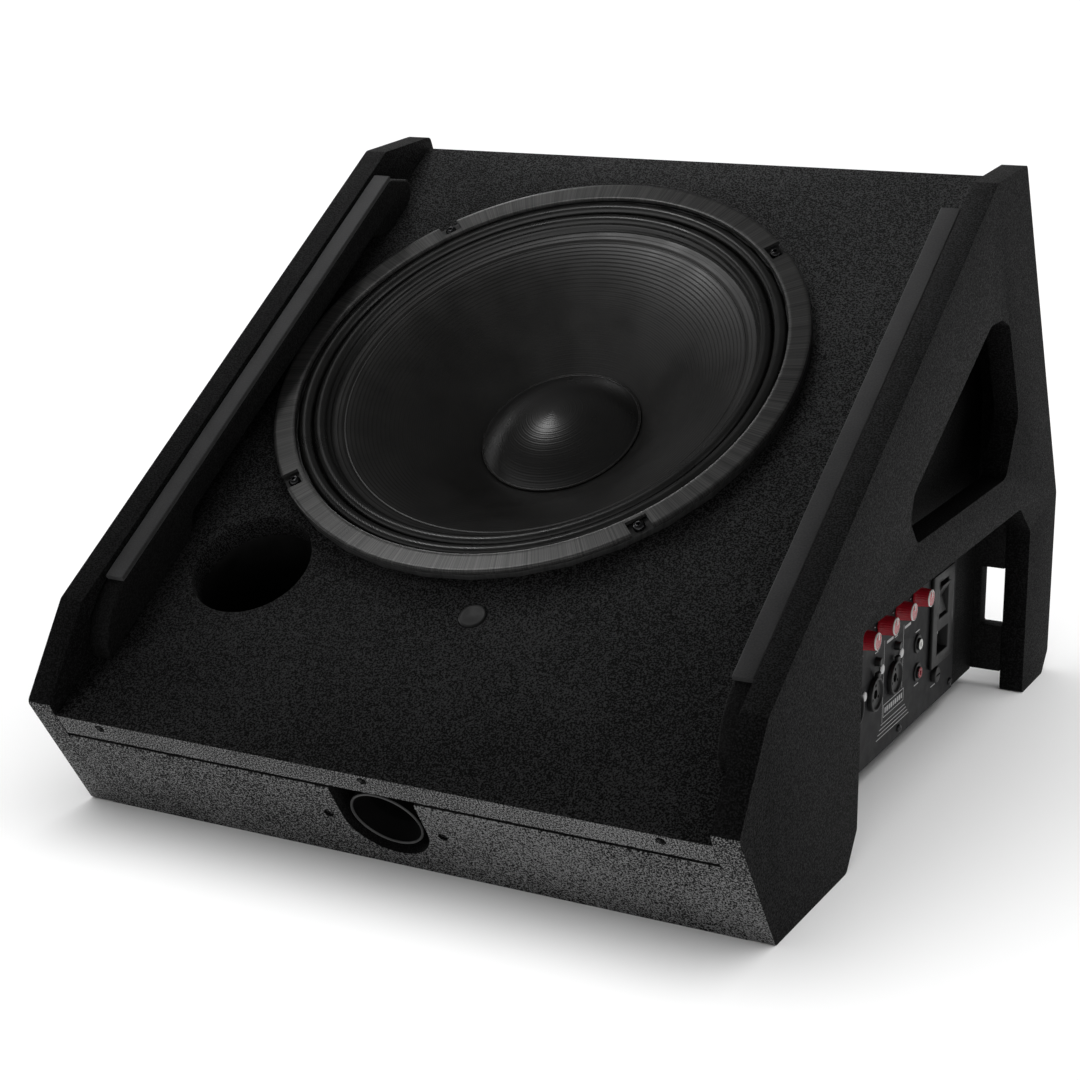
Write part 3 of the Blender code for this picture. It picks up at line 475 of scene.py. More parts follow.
def add_cylinder(bm, radius, low, high, matrix=Matrix.Identity(4), steps=24, bevel=0.0):
    """Add a rod along local Z, its ends chamfered."""
    profile = [(0.0, low), (radius - bevel, low), (radius, low + bevel), (radius, high - bevel),
               (radius - bevel, high), (0.0, high)]
    lathe(bm, profile if bevel else [(0.0, low), (radius, low), (radius, high), (0.0, high)], steps, matrix)


def bridge(bm, rings):
    """Faces between neighbouring closed rings of vertices, and one at each end."""
    for a, b in zip(rings, rings[1:]):
        for i in range(len(a)):
            k = (i + 1) % len(a)
            bm.faces.new((a[i], a[k], b[k], b[i]))
    bm.faces.new(rings[0])
    bm.faces.new(rings[-1])


def settle(obj, sharp=35.0):
    """Apply an object's modifiers."""
    bpy.context.view_layer.update()
    depsgraph = bpy.context.evaluated_depsgraph_get()
    mesh = bpy.data.meshes.new_from_object(obj.evaluated_get(depsgraph))
    obj.modifiers.clear()
    obj.data = mesh
    mesh.shade_smooth()
    mesh.set_sharp_from_angle(angle=math.radians(sharp))
    return obj


def rounded(obj, width, segments=3, angle=30.0):
    """Round an object's sharp edges."""
    bevel = obj.modifiers.new("bevel", "BEVEL")
    bevel.width = width
    bevel.segments = segments
    bevel.limit_method = "ANGLE"
    bevel.angle_limit = math.radians(angle)
    return settle(obj)


def carved(obj, bm_cutter):
    """Cut a bmesh out of an object."""
    cutter = from_bmesh("cutter", bm_cutter)
    boolean = obj.modifiers.new("cut", "BOOLEAN")
    boolean.operation = "DIFFERENCE"
    boolean.solver = "EXACT"
    boolean.object = cutter
    settle(obj)
    bpy.data.objects.remove(cutter)
    return obj


def drilled(obj, radius, low, high, matrix, steps=32):
    """Cut a round hole along local Z."""
    cutter = bmesh.new()
    add_cylinder(cutter, radius, low, high, matrix, steps)
    return carved(obj, cutter)


def slotted(obj, low, high, matrix):
    """Cut a box out of an object."""
    cutter = bmesh.new()
    add_box(cutter, low, high, matrix)
    return carved(obj, cutter)


def flat_plate(name, outline, holes, thickness, matrix):
    """A flat outline with holes, made solid from local Z 0 up to its thickness."""
    curve = bpy.data.curves.new(name, "CURVE")
    curve.dimensions = "2D"
    curve.fill_mode = "BOTH"
    curve.extrude = thickness / 2
    for loop in (outline, *holes):
        spline = curve.splines.new("POLY")
        spline.points.add(len(loop) - 1)
        for point, (x, y) in zip(spline.points, loop):
            point.co = (x, y, 0, 1)
        spline.use_cyclic_u = True
    drawn = linked(name + "_outline", curve)
    bpy.context.view_layer.update()
    mesh = bpy.data.meshes.new_from_object(drawn.evaluated_get(bpy.context.evaluated_depsgraph_get()))
    bpy.data.objects.remove(drawn)
    bm = bmesh.new()
    bm.from_mesh(mesh)
    bmesh.ops.translate(bm, vec=(0, 0, thickness / 2), verts=bm.verts)
    bmesh.ops.remove_doubles(bm, verts=bm.verts, dist=0.00001)
    bmesh.ops.dissolve_limit(bm, angle_limit=0.001, verts=bm.verts, edges=bm.edges)
    return from_bmesh(name, bm, matrix)


def show(obj, material, node=None, body=None):
    """Give a piece its material and body, and hide the CAD node it stands for."""
    obj.data.materials.clear()
    obj.data.materials.append(material)
    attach(obj, body or NODES[node]["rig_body"])
    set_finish(obj, material["slot"])
    if node:
        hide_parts(node)
    return obj


def repaint(obj, material, towards, within=1.0):
    """Give the faces that look this way, and lie this near the front, another material."""
    obj.data.materials.append(material)
    turn = obj.matrix_world.to_3x3()
    corner = Vector((0.0, *slope(0.0, 0.0)))
    for face in obj.data.polygons:
        depth = abs((obj.matrix_world @ face.center - corner).dot(FORWARD))
        if (turn @ face.normal).dot(towards) > 0.75 and depth < within:
            face.material_index = 1
    return obj


def cad_copy(node):
    """A CAD node's mesh, welded and with its flat faces joined, as a bmesh."""
    bm = bmesh.new()
    bm.from_mesh(NODES[node].data)
    bmesh.ops.remove_doubles(bm, verts=bm.verts, dist=0.00001)
    bmesh.ops.dissolve_limit(bm, angle_limit=0.002, verts=bm.verts, edges=bm.edges)
    return bm


def refined(node, material, bevel, segments=3, angle=30.0):
    """A CAD node's own shape with its edges rounded."""
    obj = rounded(from_bmesh("fine_" + node, cad_copy(node)), bevel, segments, angle)
    return show(obj, material, node)


def outline_loops(node, axis, value):
    """The closed outlines of a CAD node's flat face at one height along an axis, as lists of (Y, Z)."""
    bm = cad_copy(node)
    flat = {f for f in bm.faces if all(abs(v.co[axis] - value) < 1e-5 for v in f.verts)}
    rim = [e for e in bm.edges if len([f for f in e.link_faces if f in flat]) == 1]
    following = {}
    for edge in rim:
        a, b = edge.verts
        following.setdefault(a, []).append(b)
        following.setdefault(b, []).append(a)
    loops = []
    while following:
        start = next(iter(following))
        loop, here, last = [], start, None
        while here in following:
            ahead = following.pop(here)
            loop.append((here.co.y, here.co.z))
            last, here = here, next((v for v in ahead if v in following and v is not last), start)
        loops.append(loop)
    bm.free()
    return sorted(loops, key=lambda loop: -len(loop))


# ---- cabinet ----
SIDE_ROUND = 0.008       # outer rim of the side panels
ARCH = (0.11, 0.503, -0.001, 0.16)          # Y from the foot's front and Z that the arch's edges lie in
HANDLE = (0.205, 0.46, 0.183, 0.315)      # and the carrying hole's
CORNER_ROUND = 0.005     # corners of their outline


def side_panel(node):
    """Plywood side with its outer rim rounded over; feet, arch and handle have small eased edges."""
    low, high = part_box(node)
    outside = high.x if high.x > 0 else low.x
    inside = low.x if high.x > 0 else high.x
    outer, *holes = outline_loops(node, 0, inside)
    plate = flat_plate("fine_" + node, fillet(outer, CORNER_ROUND), [fillet(h, 0.012, 6) for h in holes],
                       high.x - low.x, Matrix(((0, 0, 1, low.x), (1, 0, 0, 0), (0, 1, 0, 0), (0, 0, 0, 1))))
    bm = bmesh.new()
    bm.from_mesh(plate.data)
    local_out = outside - low.x
    rim = []
    for edge in bm.edges:
        on_face = all(abs(v.co.z - local_out) < 1e-5 for v in edge.verts)
        y = sum(v.co.x for v in edge.verts) / 2 - FOOT_Y
        z = sum(v.co.y for v in edge.verts) / 2
        inner = any(a < y < b and c < z < d for a, b, c, d in (ARCH, HANDLE))
        foot = z < 0.004 and y > -0.01
        if on_face and not (inner or foot) and edge.calc_face_angle(0.0) > 0.5:
            rim.append(edge)
    bmesh.ops.bevel(bm, geom=rim, offset=SIDE_ROUND, segments=8, profile=0.5, affect="EDGES",
                    clamp_overlap=True)
    bm.to_mesh(plate.data)
    bm.free()
    panel = show(rounded(plate, 0.0014, 2, 50.0), PAINT, node)
    # front faces take the lighter front copy of the paint: a painted light
    return repaint(panel, PAINT_FRONT_LIT, FORWARD, FRONT_DEPTH)


def baffle():
    """Baffle board with its round openings, and the three inserts in its front edge."""
    low, high = extent("baffle_board", BAFFLE)
    outline = fillet([(low.x, low.y), (high.x, low.y), (high.x, high.y), (low.x, high.y)], 0.0005, 1)
    holes = []
    for node, radius, last, count in (("port_tube", 0.043, 357.5, 143), ("baffle_plug", 0.0098, 352.5, 47),
                                      ("woofer_trim_ring", 0.183, 357.5, 143)):
        a, b = extent(node, BAFFLE)
        holes.append(arc(((a.x + b.x) / 2, (a.y + b.y) / 2), radius, 0, last, count))
    board = flat_plate("fine_baffle_board", outline, holes, high.z - low.z,
                       BAFFLE @ Matrix.Translation((0, 0, low.z)))
    rounded(board, 0.0016, 3)
    for label in ("left", "centre", "right"):
        node = "grille_insert_" + label
        at = front_matrix(middle(node).x, INSERT_N)
        drilled(board, 0.0033, -0.0125, 0.01, at)
        profile = [(0.0016, -0.0115), (0.003, -0.0115), (0.003, -0.0008), (0.0029, -0.0005),
                   (0.0027, -0.0008), (0.0022, -0.0036)]
        threads = [(0.0016 + 0.0002 * (i % 2), -0.004 - 0.0003 * i) for i in range(24)]
        show(turned("fine_" + node, profile + threads, at, 40), INSERT, node)
    # the front edge strip takes the lighter strip copy of the paint: a painted light
    return repaint(show(board, PAINT_BAFFLE, "baffle_board"), PAINT_STRIP_LIT, FORWARD, FRONT_DEPTH)


def boards():
    # Inner walls, grille ledges, the rear board's inner side and the front board's hidden faces take the
    # darker inside copy of the paint, a painted shade; the front board's front faces take the lighter front
    # copy, a painted light.
    for node in ("rear_panel_upper", "bottom_panel"):
        refined(node, PAINT, 0.0012)
    repaint(refined("rear_panel_lower", PAINT_INSIDE_SHADED, 0.0012), PAINT, Vector((0.0, 1.0, 0.0)))
    for node in ("inner_wall_left", "inner_wall_right"):
        refined(node, PAINT_INSIDE_SHADED, 0.0008, 2)
    for node in ("grille_ledge_left", "grille_ledge_right"):
        refined(node, PAINT_INSIDE_SHADED, 0.0022, 4)
    repaint(refined("front_panel", PAINT_INSIDE_SHADED, 0.0012), PAINT_FRONT_LIT, FORWARD, FRONT_DEPTH)


def foam_strip(node):
    """Self-adhesive foam: soft square edges, a slightly uneven top."""
    low, high = extent(node, BAFFLE)
    bm = bmesh.new()
    rows, edge = 160, 0.0011
    middle_x = (low.x + high.x) / 2
    section = fillet([(low.x, low.z), (high.x, low.z), (high.x, high.z), (low.x, high.z)], edge, 3)
    loops = []
    for i in range(rows + 1):
        s = low.y + (high.y - low.y) * i / rows
        pinch = 1 - 0.0024 * max(0, 2 - min(i, rows - i))
        loop = []
        for x, z in section:
            wave = noise.noise(Vector((x * 30, s * 40, z * 10))) * 0.0003
            top = min(z + wave, high.z) if z > (low.z + high.z) / 2 else z
            loop.append(bm.verts.new((middle_x + (x - middle_x) * pinch, s, top)))
        loops.append(loop)
    bridge(bm, loops)
    strip = from_bmesh("fine_" + node, bm, BAFFLE, 50.0)
    show(strip, FOAM, node)


def plug_and_port():
    plug = middle("baffle_plug")
    low, high = extent("baffle_plug", BAFFLE)
    at = slope_matrix(plug.x, (low.y + high.y) / 2, high.z - 0.0008)
    dome = [(0.0, -0.013), (0.009, -0.013), (0.0094, -0.001), (0.0095, 0.0002), (0.009, 0.0006),
            (0.008, 0.0008), (0.006, 0.0005), (0.0, 0.0004)]
    show(turned("fine_baffle_plug", dome, at, 64), BLACK, "baffle_plug")
    low, high = extent("port_tube", BAFFLE)
    at = slope_matrix((low.x + high.x) / 2, (low.y + high.y) / 2, high.z)
    length = high.z - low.z
    radius = (high.x - low.x) / 2
    inner = radius - 0.003
    flare = [(radius, -length), (inner + 0.0006, -length), (inner, -length + 0.0015), (inner, -0.0015),
             (inner + 0.0006, 0.0), (radius, 0.0)]
    show(turned("fine_port_tube", flare, at, 128), BLACK, "port_tube")


def pole_cup():
    """Moulded pole socket: tapered mouth, deep bore and its plate behind the board in a darker, duller copy
    of the black plastic, and a rim lip in a lighter copy, a painted highlight.
    """
    at = front_matrix(0.0, CUP_N)
    rim, bore, depth = 0.0255, 0.0183, 0.088
    body = [(0.0, -depth + 0.004), (bore - 0.001, -depth + 0.004), (bore, -depth + 0.006), (bore, -0.017),
            (bore + 0.0004, -0.0155), (rim - 0.002, -0.006), (rim - 0.0018, -0.0042), (rim, -0.0042),
            (rim, -0.0165), (0.0222, -0.0185),
            (0.0216, -0.02), (0.0212, -0.024), (0.0212, -depth + 0.001), (0.0202, -depth), (0.0, -depth)]
    bm = bmesh.new()
    lathe(bm, body, 128)
    for side in (-1, 1):
        low, high = sorted((side * 0.0185, side * 0.052))
        add_box(bm, (low, -0.0155, -0.0213), (high, 0.0155, -0.0184), bevel=0.0006)
    show(from_bmesh("fine_pole_cup", bm, at), CUP, "pole_cup")
    lip = [(rim - 0.0018, -0.0042), (rim - 0.0017, -0.0037), (rim - 0.0013, -0.0032), (rim - 0.0009, -0.003),
           (rim - 0.0004, -0.0032), (rim, -0.0038), (rim, -0.0042)]
    show(turned("cup_rim", lip, at, 128), CUP_RIM_HIGHLIGHT, body="cabinet")
    for label in ("left", "right"):
        node = "pole_cup_screw_" + label
        spot = front_matrix(middle(node).x, CUP_SCREW_N)
        head = [(0.0, -0.026), (0.0021, -0.026), (0.0022, -0.0038), (0.0029, -0.0028), (0.003, -0.0024),
                (0.0026, -0.0016), (0.0018, -0.0011), (0.0, -0.001)]
        screw = turned("fine_" + node, head, spot, 40)
        show(cross_recess(screw, spot, -0.0008, 0.0018), SCREW, node)


def cross_recess(obj, matrix, top, size):
    """Cut a cross recess into a screw head."""
    for x, y in ((size, size * 0.22), (size * 0.22, size)):
        slotted(obj, (-x, -y, top - size * 0.7), (x, y, top + 0.002), matrix)
    return obj


def wadding():
    """A bat of loose fill, puffed between its corners, with a lumpy skin."""
    low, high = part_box("acoustic_wadding")
    bm = bmesh.new()
    bmesh.ops.create_cube(bm, size=1.0)
    bmesh.ops.subdivide_edges(bm, edges=bm.edges, cuts=47, use_grid_fill=True)
    centre, half = (low + high) / 2, (high - low) / 2
    for v in bm.verts:
        unit = v.co * 2
        x, y, z = (abs(c) for c in unit)
        pull = 1 - 0.05 * max(x * z, y * z, x * y) ** 3
        point = Vector(centre[i] + unit[i] * half[i] * 0.97 * pull for i in range(3))
        lump = noise.fractal(point * 45, 1.0, 2.0, 3) * 0.003
        outward = (unit / max(x, y, z)).normalized()
        point += outward * lump
        v.co = Vector(min(max(point[i], low[i]), high[i]) for i in range(3))
    bat = show(from_bmesh("fine_acoustic_wadding", bm, sharp=80.0), FLUFF, "acoustic_wadding")


# ---- driver ----
RING_MIDDLE = 0.00765    # the trim ring's middle above the baffle's face
RING_IN, RING_OUT = 0.179, 0.195
RING_LOW, RING_TOP = 0.0063, 0.009
NOTCH_IN, NOTCH_HALF = 0.1825, 0.0075
BOLT_R = 0.188
CONE_R, CAP_R = 0.157, 0.059
BAND_R = 0.1545          # inner edge of the surround's glued band on the cone
BAND_TOP_R = 0.1552      # where that band starts to thin out
NECK_R = 0.0535          # hole in the cone under the dust cap
GROOVE_R = 0.147        # thin groove pressed into the cone near its rim
CAP_DEPTH = -0.061

DRIVER = Matrix.Translation(middle("woofer_trim_ring") - AXIS * RING_MIDDLE) @ Matrix.Rotation(SLOPE, 4, "X")


def spots(radius):
    """Frames of the four driver screws."""
    for index in range(4):
        turn = Matrix.Rotation(math.radians(45 + 90 * index), 4, "Z")
        yield DRIVER @ turn @ Matrix.Translation((radius, 0, 0))


def trim_ring():
    profile = [(RING_IN, RING_LOW), (RING_OUT, RING_LOW), (RING_OUT, RING_TOP - 0.0009),
               (RING_OUT - 0.0003, RING_TOP - 0.0003), (RING_OUT - 0.0009, RING_TOP), (0.1925, RING_TOP),
               (0.189, RING_TOP), (0.1855, RING_TOP), (0.182, RING_TOP), (RING_IN + 0.0008, RING_TOP),
               (RING_IN + 0.0002, RING_TOP - 0.0003), (RING_IN, RING_TOP - 0.0009)]
    ring = turned("fine_woofer_trim_ring", profile, DRIVER, 288)
    for spot in spots(0.0):
        slotted(ring, (NOTCH_IN, -NOTCH_HALF, 0.0), (0.21, NOTCH_HALF, 0.02), spot)
    show(ring, RING, "woofer_trim_ring")
    for index, spot in enumerate(spots(BOLT_R), start=1):
        head = [(0.0, -0.03), (0.0024, -0.03), (0.0025, 0.0051), (0.0041, 0.0051), (0.0042, 0.0066),
                (0.004, 0.0074), (0.0034, 0.0081), (0.0026, 0.0086), (0.0018, 0.0088), (0.0, 0.0088)]
        screw = turned(f"fine_woofer_screw_{index}", head, spot, 48)
        drilled(screw, 0.0016, 0.007, 0.012, spot, 6)
        show(screw, SCREW, f"woofer_screw_{index}")


def surround():
    """Two-roll surround with its lip under the ring and its glued band on the cone."""
    line = [(0.1835, 0.00555), (0.1784, 0.00555), (0.178, 0.0046), (0.1778, 0.003)]
    rolls = ((0.1727, 0.0048, 0.0026, 0.005), (0.1624, 0.0047, 0.0012, 0.0046))
    for centre, radius, base, rise in rolls:
        for i in range(17):
            angle = math.pi * i / 16
            line.append((centre + radius * math.cos(angle), base + rise * math.sin(angle)))
    line += [(CONE_R, 0.0002), (CONE_R - 0.0012, -0.001)]
    line += [(BAND_TOP_R, cone_height(BAND_TOP_R) + 0.0005), (BAND_R, cone_height(BAND_R) + 0.0003)]
    line = [line[0], *fillet(line[1:], 0.0006, 2, closed=False)]
    thick = 0.0007
    under = [(r, h - thick) for r, h in line if r > CONE_R - 0.0014]
    seat = [(r, h - 0.0002) for r, h in line if r <= CONE_R - 0.0014]
    skin = turned("fine_woofer_surround", line + (under + seat)[::-1], DRIVER, 240, 60.0)
    skin.data.materials.clear()
    skin.data.materials.append(RUBBER)
    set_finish(skin, RUBBER["slot"])
    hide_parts("woofer_surround")
    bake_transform(skin)


def cone_height(radius):
    """Height of the cone's face, measured from the baffle's face."""
    share = (radius - CAP_R) / (CONE_R - CAP_R)
    return -0.003 + (CAP_DEPTH + 0.004) * (1 - share) ** 1.3


def cone():
    """Curved paper cone with pressed rings towards its rim."""
    pitch, count = 0.0028, 320
    face = []
    for i in range(count + 1):
        radius = CAP_R + (CONE_R - CAP_R) * i / count
        fade = min(1.0, max(0.15, (radius - 0.095) / 0.03)) * min(1.0, max(0.0, (BAND_R - radius) / 0.002))
        groove = 0.0005 * math.exp(-((radius - GROOVE_R) / 0.0005) ** 2)
        ripple = 0.00006 * fade * math.sin(2 * math.pi * radius / pitch)
        face.append((radius, cone_height(radius) + ripple - groove))
    neck = [(NECK_R, CAP_DEPTH - 0.0005 - (CAP_R - NECK_R) * 0.75), (0.0585, CAP_DEPTH - 0.0006)]
    top = neck + face
    back = [(r, h - 0.0014) for r, h in top[::6]]
    show(turned("fine_woofer_cone", top + back[::-1], DRIVER, 240, 50.0), CONE, "woofer_cone")


def dust_cap():
    """Shallow dome with a rolled rim and faint pressed rings."""
    rise = 0.0215
    sphere = (CAP_R ** 2 + rise ** 2) / (2 * rise)
    count = 90
    dome = []
    for i in range(count):
        radius = (CAP_R - 0.0012) * i / (count - 1)
        ripple = 0.00003 * math.sin(2 * math.pi * radius / 0.0026) * min(1.0, radius / 0.02)
        bulge = math.sqrt(sphere ** 2 - radius ** 2)
        dome.append((radius, CAP_DEPTH + 0.0018 + rise - sphere + bulge + ripple))
    rim = [(CAP_R - 0.0009, CAP_DEPTH + 0.0029), (CAP_R - 0.0004, CAP_DEPTH + 0.0027),
           (CAP_R, CAP_DEPTH + 0.0021), (CAP_R, CAP_DEPTH + 0.0012)]
    under = [(r, h - 0.0009) for r, h in dome[::8]]
    show(turned("fine_dust_cap", dome + rim + under[::-1], DRIVER, 192, 50.0), CAP, "dust_cap")
    # glue bead round the cap's rim, coloured lighter than the cap as a painted highlight
    bead = [(CAP_R - 0.0004, CAP_DEPTH + 0.0022), (CAP_R - 0.0003, CAP_DEPTH + 0.003),
            (CAP_R, CAP_DEPTH + 0.0033), (CAP_R + 0.0003, CAP_DEPTH + 0.0031),
            (CAP_R + 0.0005, CAP_DEPTH + 0.0024), (CAP_R + 0.0003, CAP_DEPTH + 0.002)]
    show(turned("cap_bead", bead, DRIVER, 192), BEAD_HIGHLIGHT, body="cone")


def behind_driver():
    """Basket, coil, spider and motor keep the CAD's shapes."""
    for node in ("woofer_frame", "top_plate", "magnet", "back_plate", "hf_driver"):
        refined(node, {"woofer_frame": CAST, "magnet": FERRITE}.get(node, STEEL), 0.0006, 2)
    refined("voice_coil", WINDING, 0.0001, 1)
    refined("spider", SPIDER, 0.0001, 1)


# ---- amplifier panel ----
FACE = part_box("amp_panel")[1].x       # outer face of the panel
PANEL_LOW, PANEL_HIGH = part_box("amp_panel")


def on_panel(node):
    """Frame on the panel's face at a node's middle: +X to the rear, +Y up, +Z out of the panel."""
    centre = middle(node)
    return side_matrix(FACE, centre.y, centre.z)


def knobs():
    """Fluted skirt, dished top with a pale chamfer ring, and a pointer rib."""
    for index in range(1, 5):
        node = f"gain_knob_{index}"
        low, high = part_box(node)
        at = side_matrix(FACE, (low.y + high.y) / 2, (low.z + high.z) / 2)
        flutes, bm = 24, bmesh.new()
        profile = [(0.003, -0.012), (0.003, 0.0008), (0.0074, 0.0008), (0.0074, 0.002), (0.0071, 0.0028),
                   (0.0064, 0.0112), (0.0062, 0.0115)]
        rings = [[] for _ in profile]
        steps = flutes * 6
        for k, (radius, height) in enumerate(profile):
            for i in range(steps):
                turn = 2 * math.pi * i / steps
                dent = 0.00028 * (1 - math.cos(turn * flutes)) / 2 if 0.0024 < height < 0.0114 else 0.0
                reach = radius - dent
                rings[k].append(bm.verts.new((reach * math.cos(turn), reach * math.sin(turn), height)))
        bridge(bm, rings)
        show(from_bmesh("fine_" + node, bm, at), RED, node)
        body = NODES[node]["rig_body"]
        ring = [(0.0062, 0.01152), (0.0061, 0.012), (0.006, 0.0123), (0.0056, 0.0124), (0.0056, 0.01152)]
        show(turned(f"knob_ring_{index}", ring, at, 72), WHITE, body=body)
        cap = [(0.0, 0.01152), (0.00558, 0.01152), (0.00558, 0.0121), (0.0051, 0.0124), (0.0, 0.0121)]
        show(turned(f"knob_cap_{index}", cap, at, 64), RED, body=body)
        pointer = bmesh.new()
        add_box(pointer, (-0.0005, 0.0012, 0.0119), (0.0005, 0.0066, 0.013), bevel=0.0002)
        show(from_bmesh(f"knob_pointer_{index}", pointer, at), WHITE, body=body)


def jacks():
    """Combination inputs with their contact holes, and the output with its pins."""
    for node in ("combo_jack_1", "combo_jack_2", "xlr_output"):
        at = on_panel(node)
        collar = [(0.0, -0.022), (0.0115, -0.022), (0.0115, 0.0003), (0.0122, 0.0003), (0.0122, 0.0026),
                  (0.0119, 0.0033), (0.0114, 0.0035), (0.0107, 0.0035), (0.0103, 0.0032), (0.0101, 0.0026)]
        is_input = node.startswith("combo")
        deep = -0.0018 if is_input else 0.013
        face = [(0.0098, -deep + 0.0003), (0.0095, -deep), (0.0, -deep)]
        shell = turned("fine_" + node, collar + face, at, 96)
        turns = (90, 210, 330)
        if is_input:
            for turn, radius, size in ((0, 0.0, 0.0034), *((t, 0.0062, 0.0013) for t in turns)):
                spot = at @ Matrix.Rotation(math.radians(turn), 4, "Z") @ Matrix.Translation((radius, 0, 0))
                drilled(shell, size, -0.018, 0.004, spot)
        show(shell, BLACK, node)
        pins = bmesh.new()
        if is_input:
            lathe(pins, [(0.0034, -0.016), (0.0034, -0.002), (0.0031, -0.0017), (0.0029, -0.002),
                         (0.0029, -0.016)], 48)
        else:
            for turn in turns:
                spot = Matrix.Rotation(math.radians(turn), 4, "Z") @ Matrix.Translation((0.005, 0, 0))
                add_cylinder(pins, 0.0011, -0.013, 0.001, spot, 24, 0.0004)
        show(from_bmesh("contacts_" + node, pins, at), CONTACT, body="cabinet")
    for index in (1, 2):
        refined(f"latch_tab_{index}", BLACK, 0.0003, 2)
        node = f"input_button_{index}"
        cap = [(0.0, -0.008), (0.0032, -0.008), (0.0032, 0.0034), (0.003, 0.0039), (0.0026, 0.0042),
               (0.0018, 0.0041), (0.0, 0.004)]
        show(turned("fine_" + node, cap, on_panel(node), 48), BLACK, node)


def phonos():
    """Phono sockets: flange, dark shell, coloured insulator and contact; then the fuse cap."""
    for label, colour in (("white", WHITE), ("red", RED)):
        node = "phono_socket_" + label
        at = on_panel(node)
        insulator = [(0.0, -0.012), (0.004, -0.012), (0.004, 0.0028), (0.0037, 0.0032), (0.0021, 0.0032),
                     (0.0017, 0.0028), (0.0017, -0.001), (0.0, -0.001)]
        show(turned("fine_" + node, insulator, at, 64), colour, node)
        shell = [(0.0041, 0.001), (0.0045, 0.001), (0.0045, 0.0026), (0.0043, 0.003), (0.0041, 0.003)]
        show(turned(f"phono_shell_{label}", shell, at, 64), SCREW, body="cabinet")
        flange = [(0.0046, 0.0003), (0.007, 0.0003), (0.007, 0.001), (0.0066, 0.0014), (0.0046, 0.0014)]
        show(turned(f"phono_flange_{label}", flange, at, 64), BLACK, body="cabinet")
        tip = [(0.0012, -0.001), (0.0016, -0.001), (0.0016, 0.0018), (0.0014, 0.0021), (0.0012, 0.0018)]
        show(turned(f"phono_contact_{label}", tip, at, 48), CONTACT, body="cabinet")
    cap = [(0.0, -0.018), (0.0048, -0.018), (0.0048, 0.0003), (0.0062, 0.0003), (0.0062, 0.0028),
           (0.0058, 0.0036), (0.005, 0.004), (0.0, 0.004)]
    at = on_panel("fuse_cap")
    fuse = turned("fine_fuse_cap", cap, at, 64)
    show(slotted(fuse, (-0.0042, -0.0006, 0.0028), (0.0042, 0.0006, 0.006), at), BLACK, "fuse_cap")


def mains_inlet():
    """Inlet moulding with its three flat pins, and the rocker switch."""
    refined("mains_inlet", BLACK, 0.0007, 3)
    low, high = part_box("mains_inlet")
    at = side_matrix(FACE, (low.y + high.y) / 2, (low.z + high.z) / 2)
    pins = bmesh.new()
    for x, y in ((-0.007, -0.0155), (0.007, -0.0155), (0.0, -0.0245)):
        add_box(pins, (x - 0.001, y - 0.0014, -0.016), (x + 0.001, y + 0.0014, -0.003), bevel=0.0003)
    show(from_bmesh("mains_pins", pins, at), CONTACT, body="cabinet")
    refined("rocker_switch", BLACK, 0.0005, 3)


def panel_screws():
    """Pan-head screws that hold the panel."""
    inset = 0.0065
    ys = (PANEL_LOW.y + inset, middle("amp_panel").y, PANEL_HIGH.y - inset)
    rows = [(y, z) for y in ys for z in (PANEL_LOW.z + inset, PANEL_HIGH.z - inset)]
    for index, (y, z) in enumerate(rows, start=1):
        at = side_matrix(FACE, y, z)
        head = [(0.0, 0.0002), (0.0029, 0.0002), (0.003, 0.0006), (0.0027, 0.0013), (0.0019, 0.0018),
                (0.0, 0.002)]
        screw = turned(f"panel_screw_{index}", head, at, 40)
        show(cross_recess(screw, at, 0.0022, 0.0015), SCREW, body="cabinet")


def indicators():
    """Small domed lenses: one beside each input button, one beside the output."""
    first, second = middle("combo_jack_1"), middle("combo_jack_2")
    spots_yz = ((first.y + 0.0155, first.z + 0.0135), (second.y + 0.0155, second.z + 0.0135),
                (first.y - 0.019, first.z + 0.004))
    for index, (y, z) in enumerate(spots_yz, start=1):
        at = side_matrix(FACE, y, z)
        lens = [(0.0, 0.0002), (0.0036, 0.0002), (0.0036, 0.0007), (0.0032, 0.0012), (0.0022, 0.0016),
                (0.0, 0.0018)]
        show(turned(f"indicator_{index}", lens, at, 48), LAMP, body="cabinet")


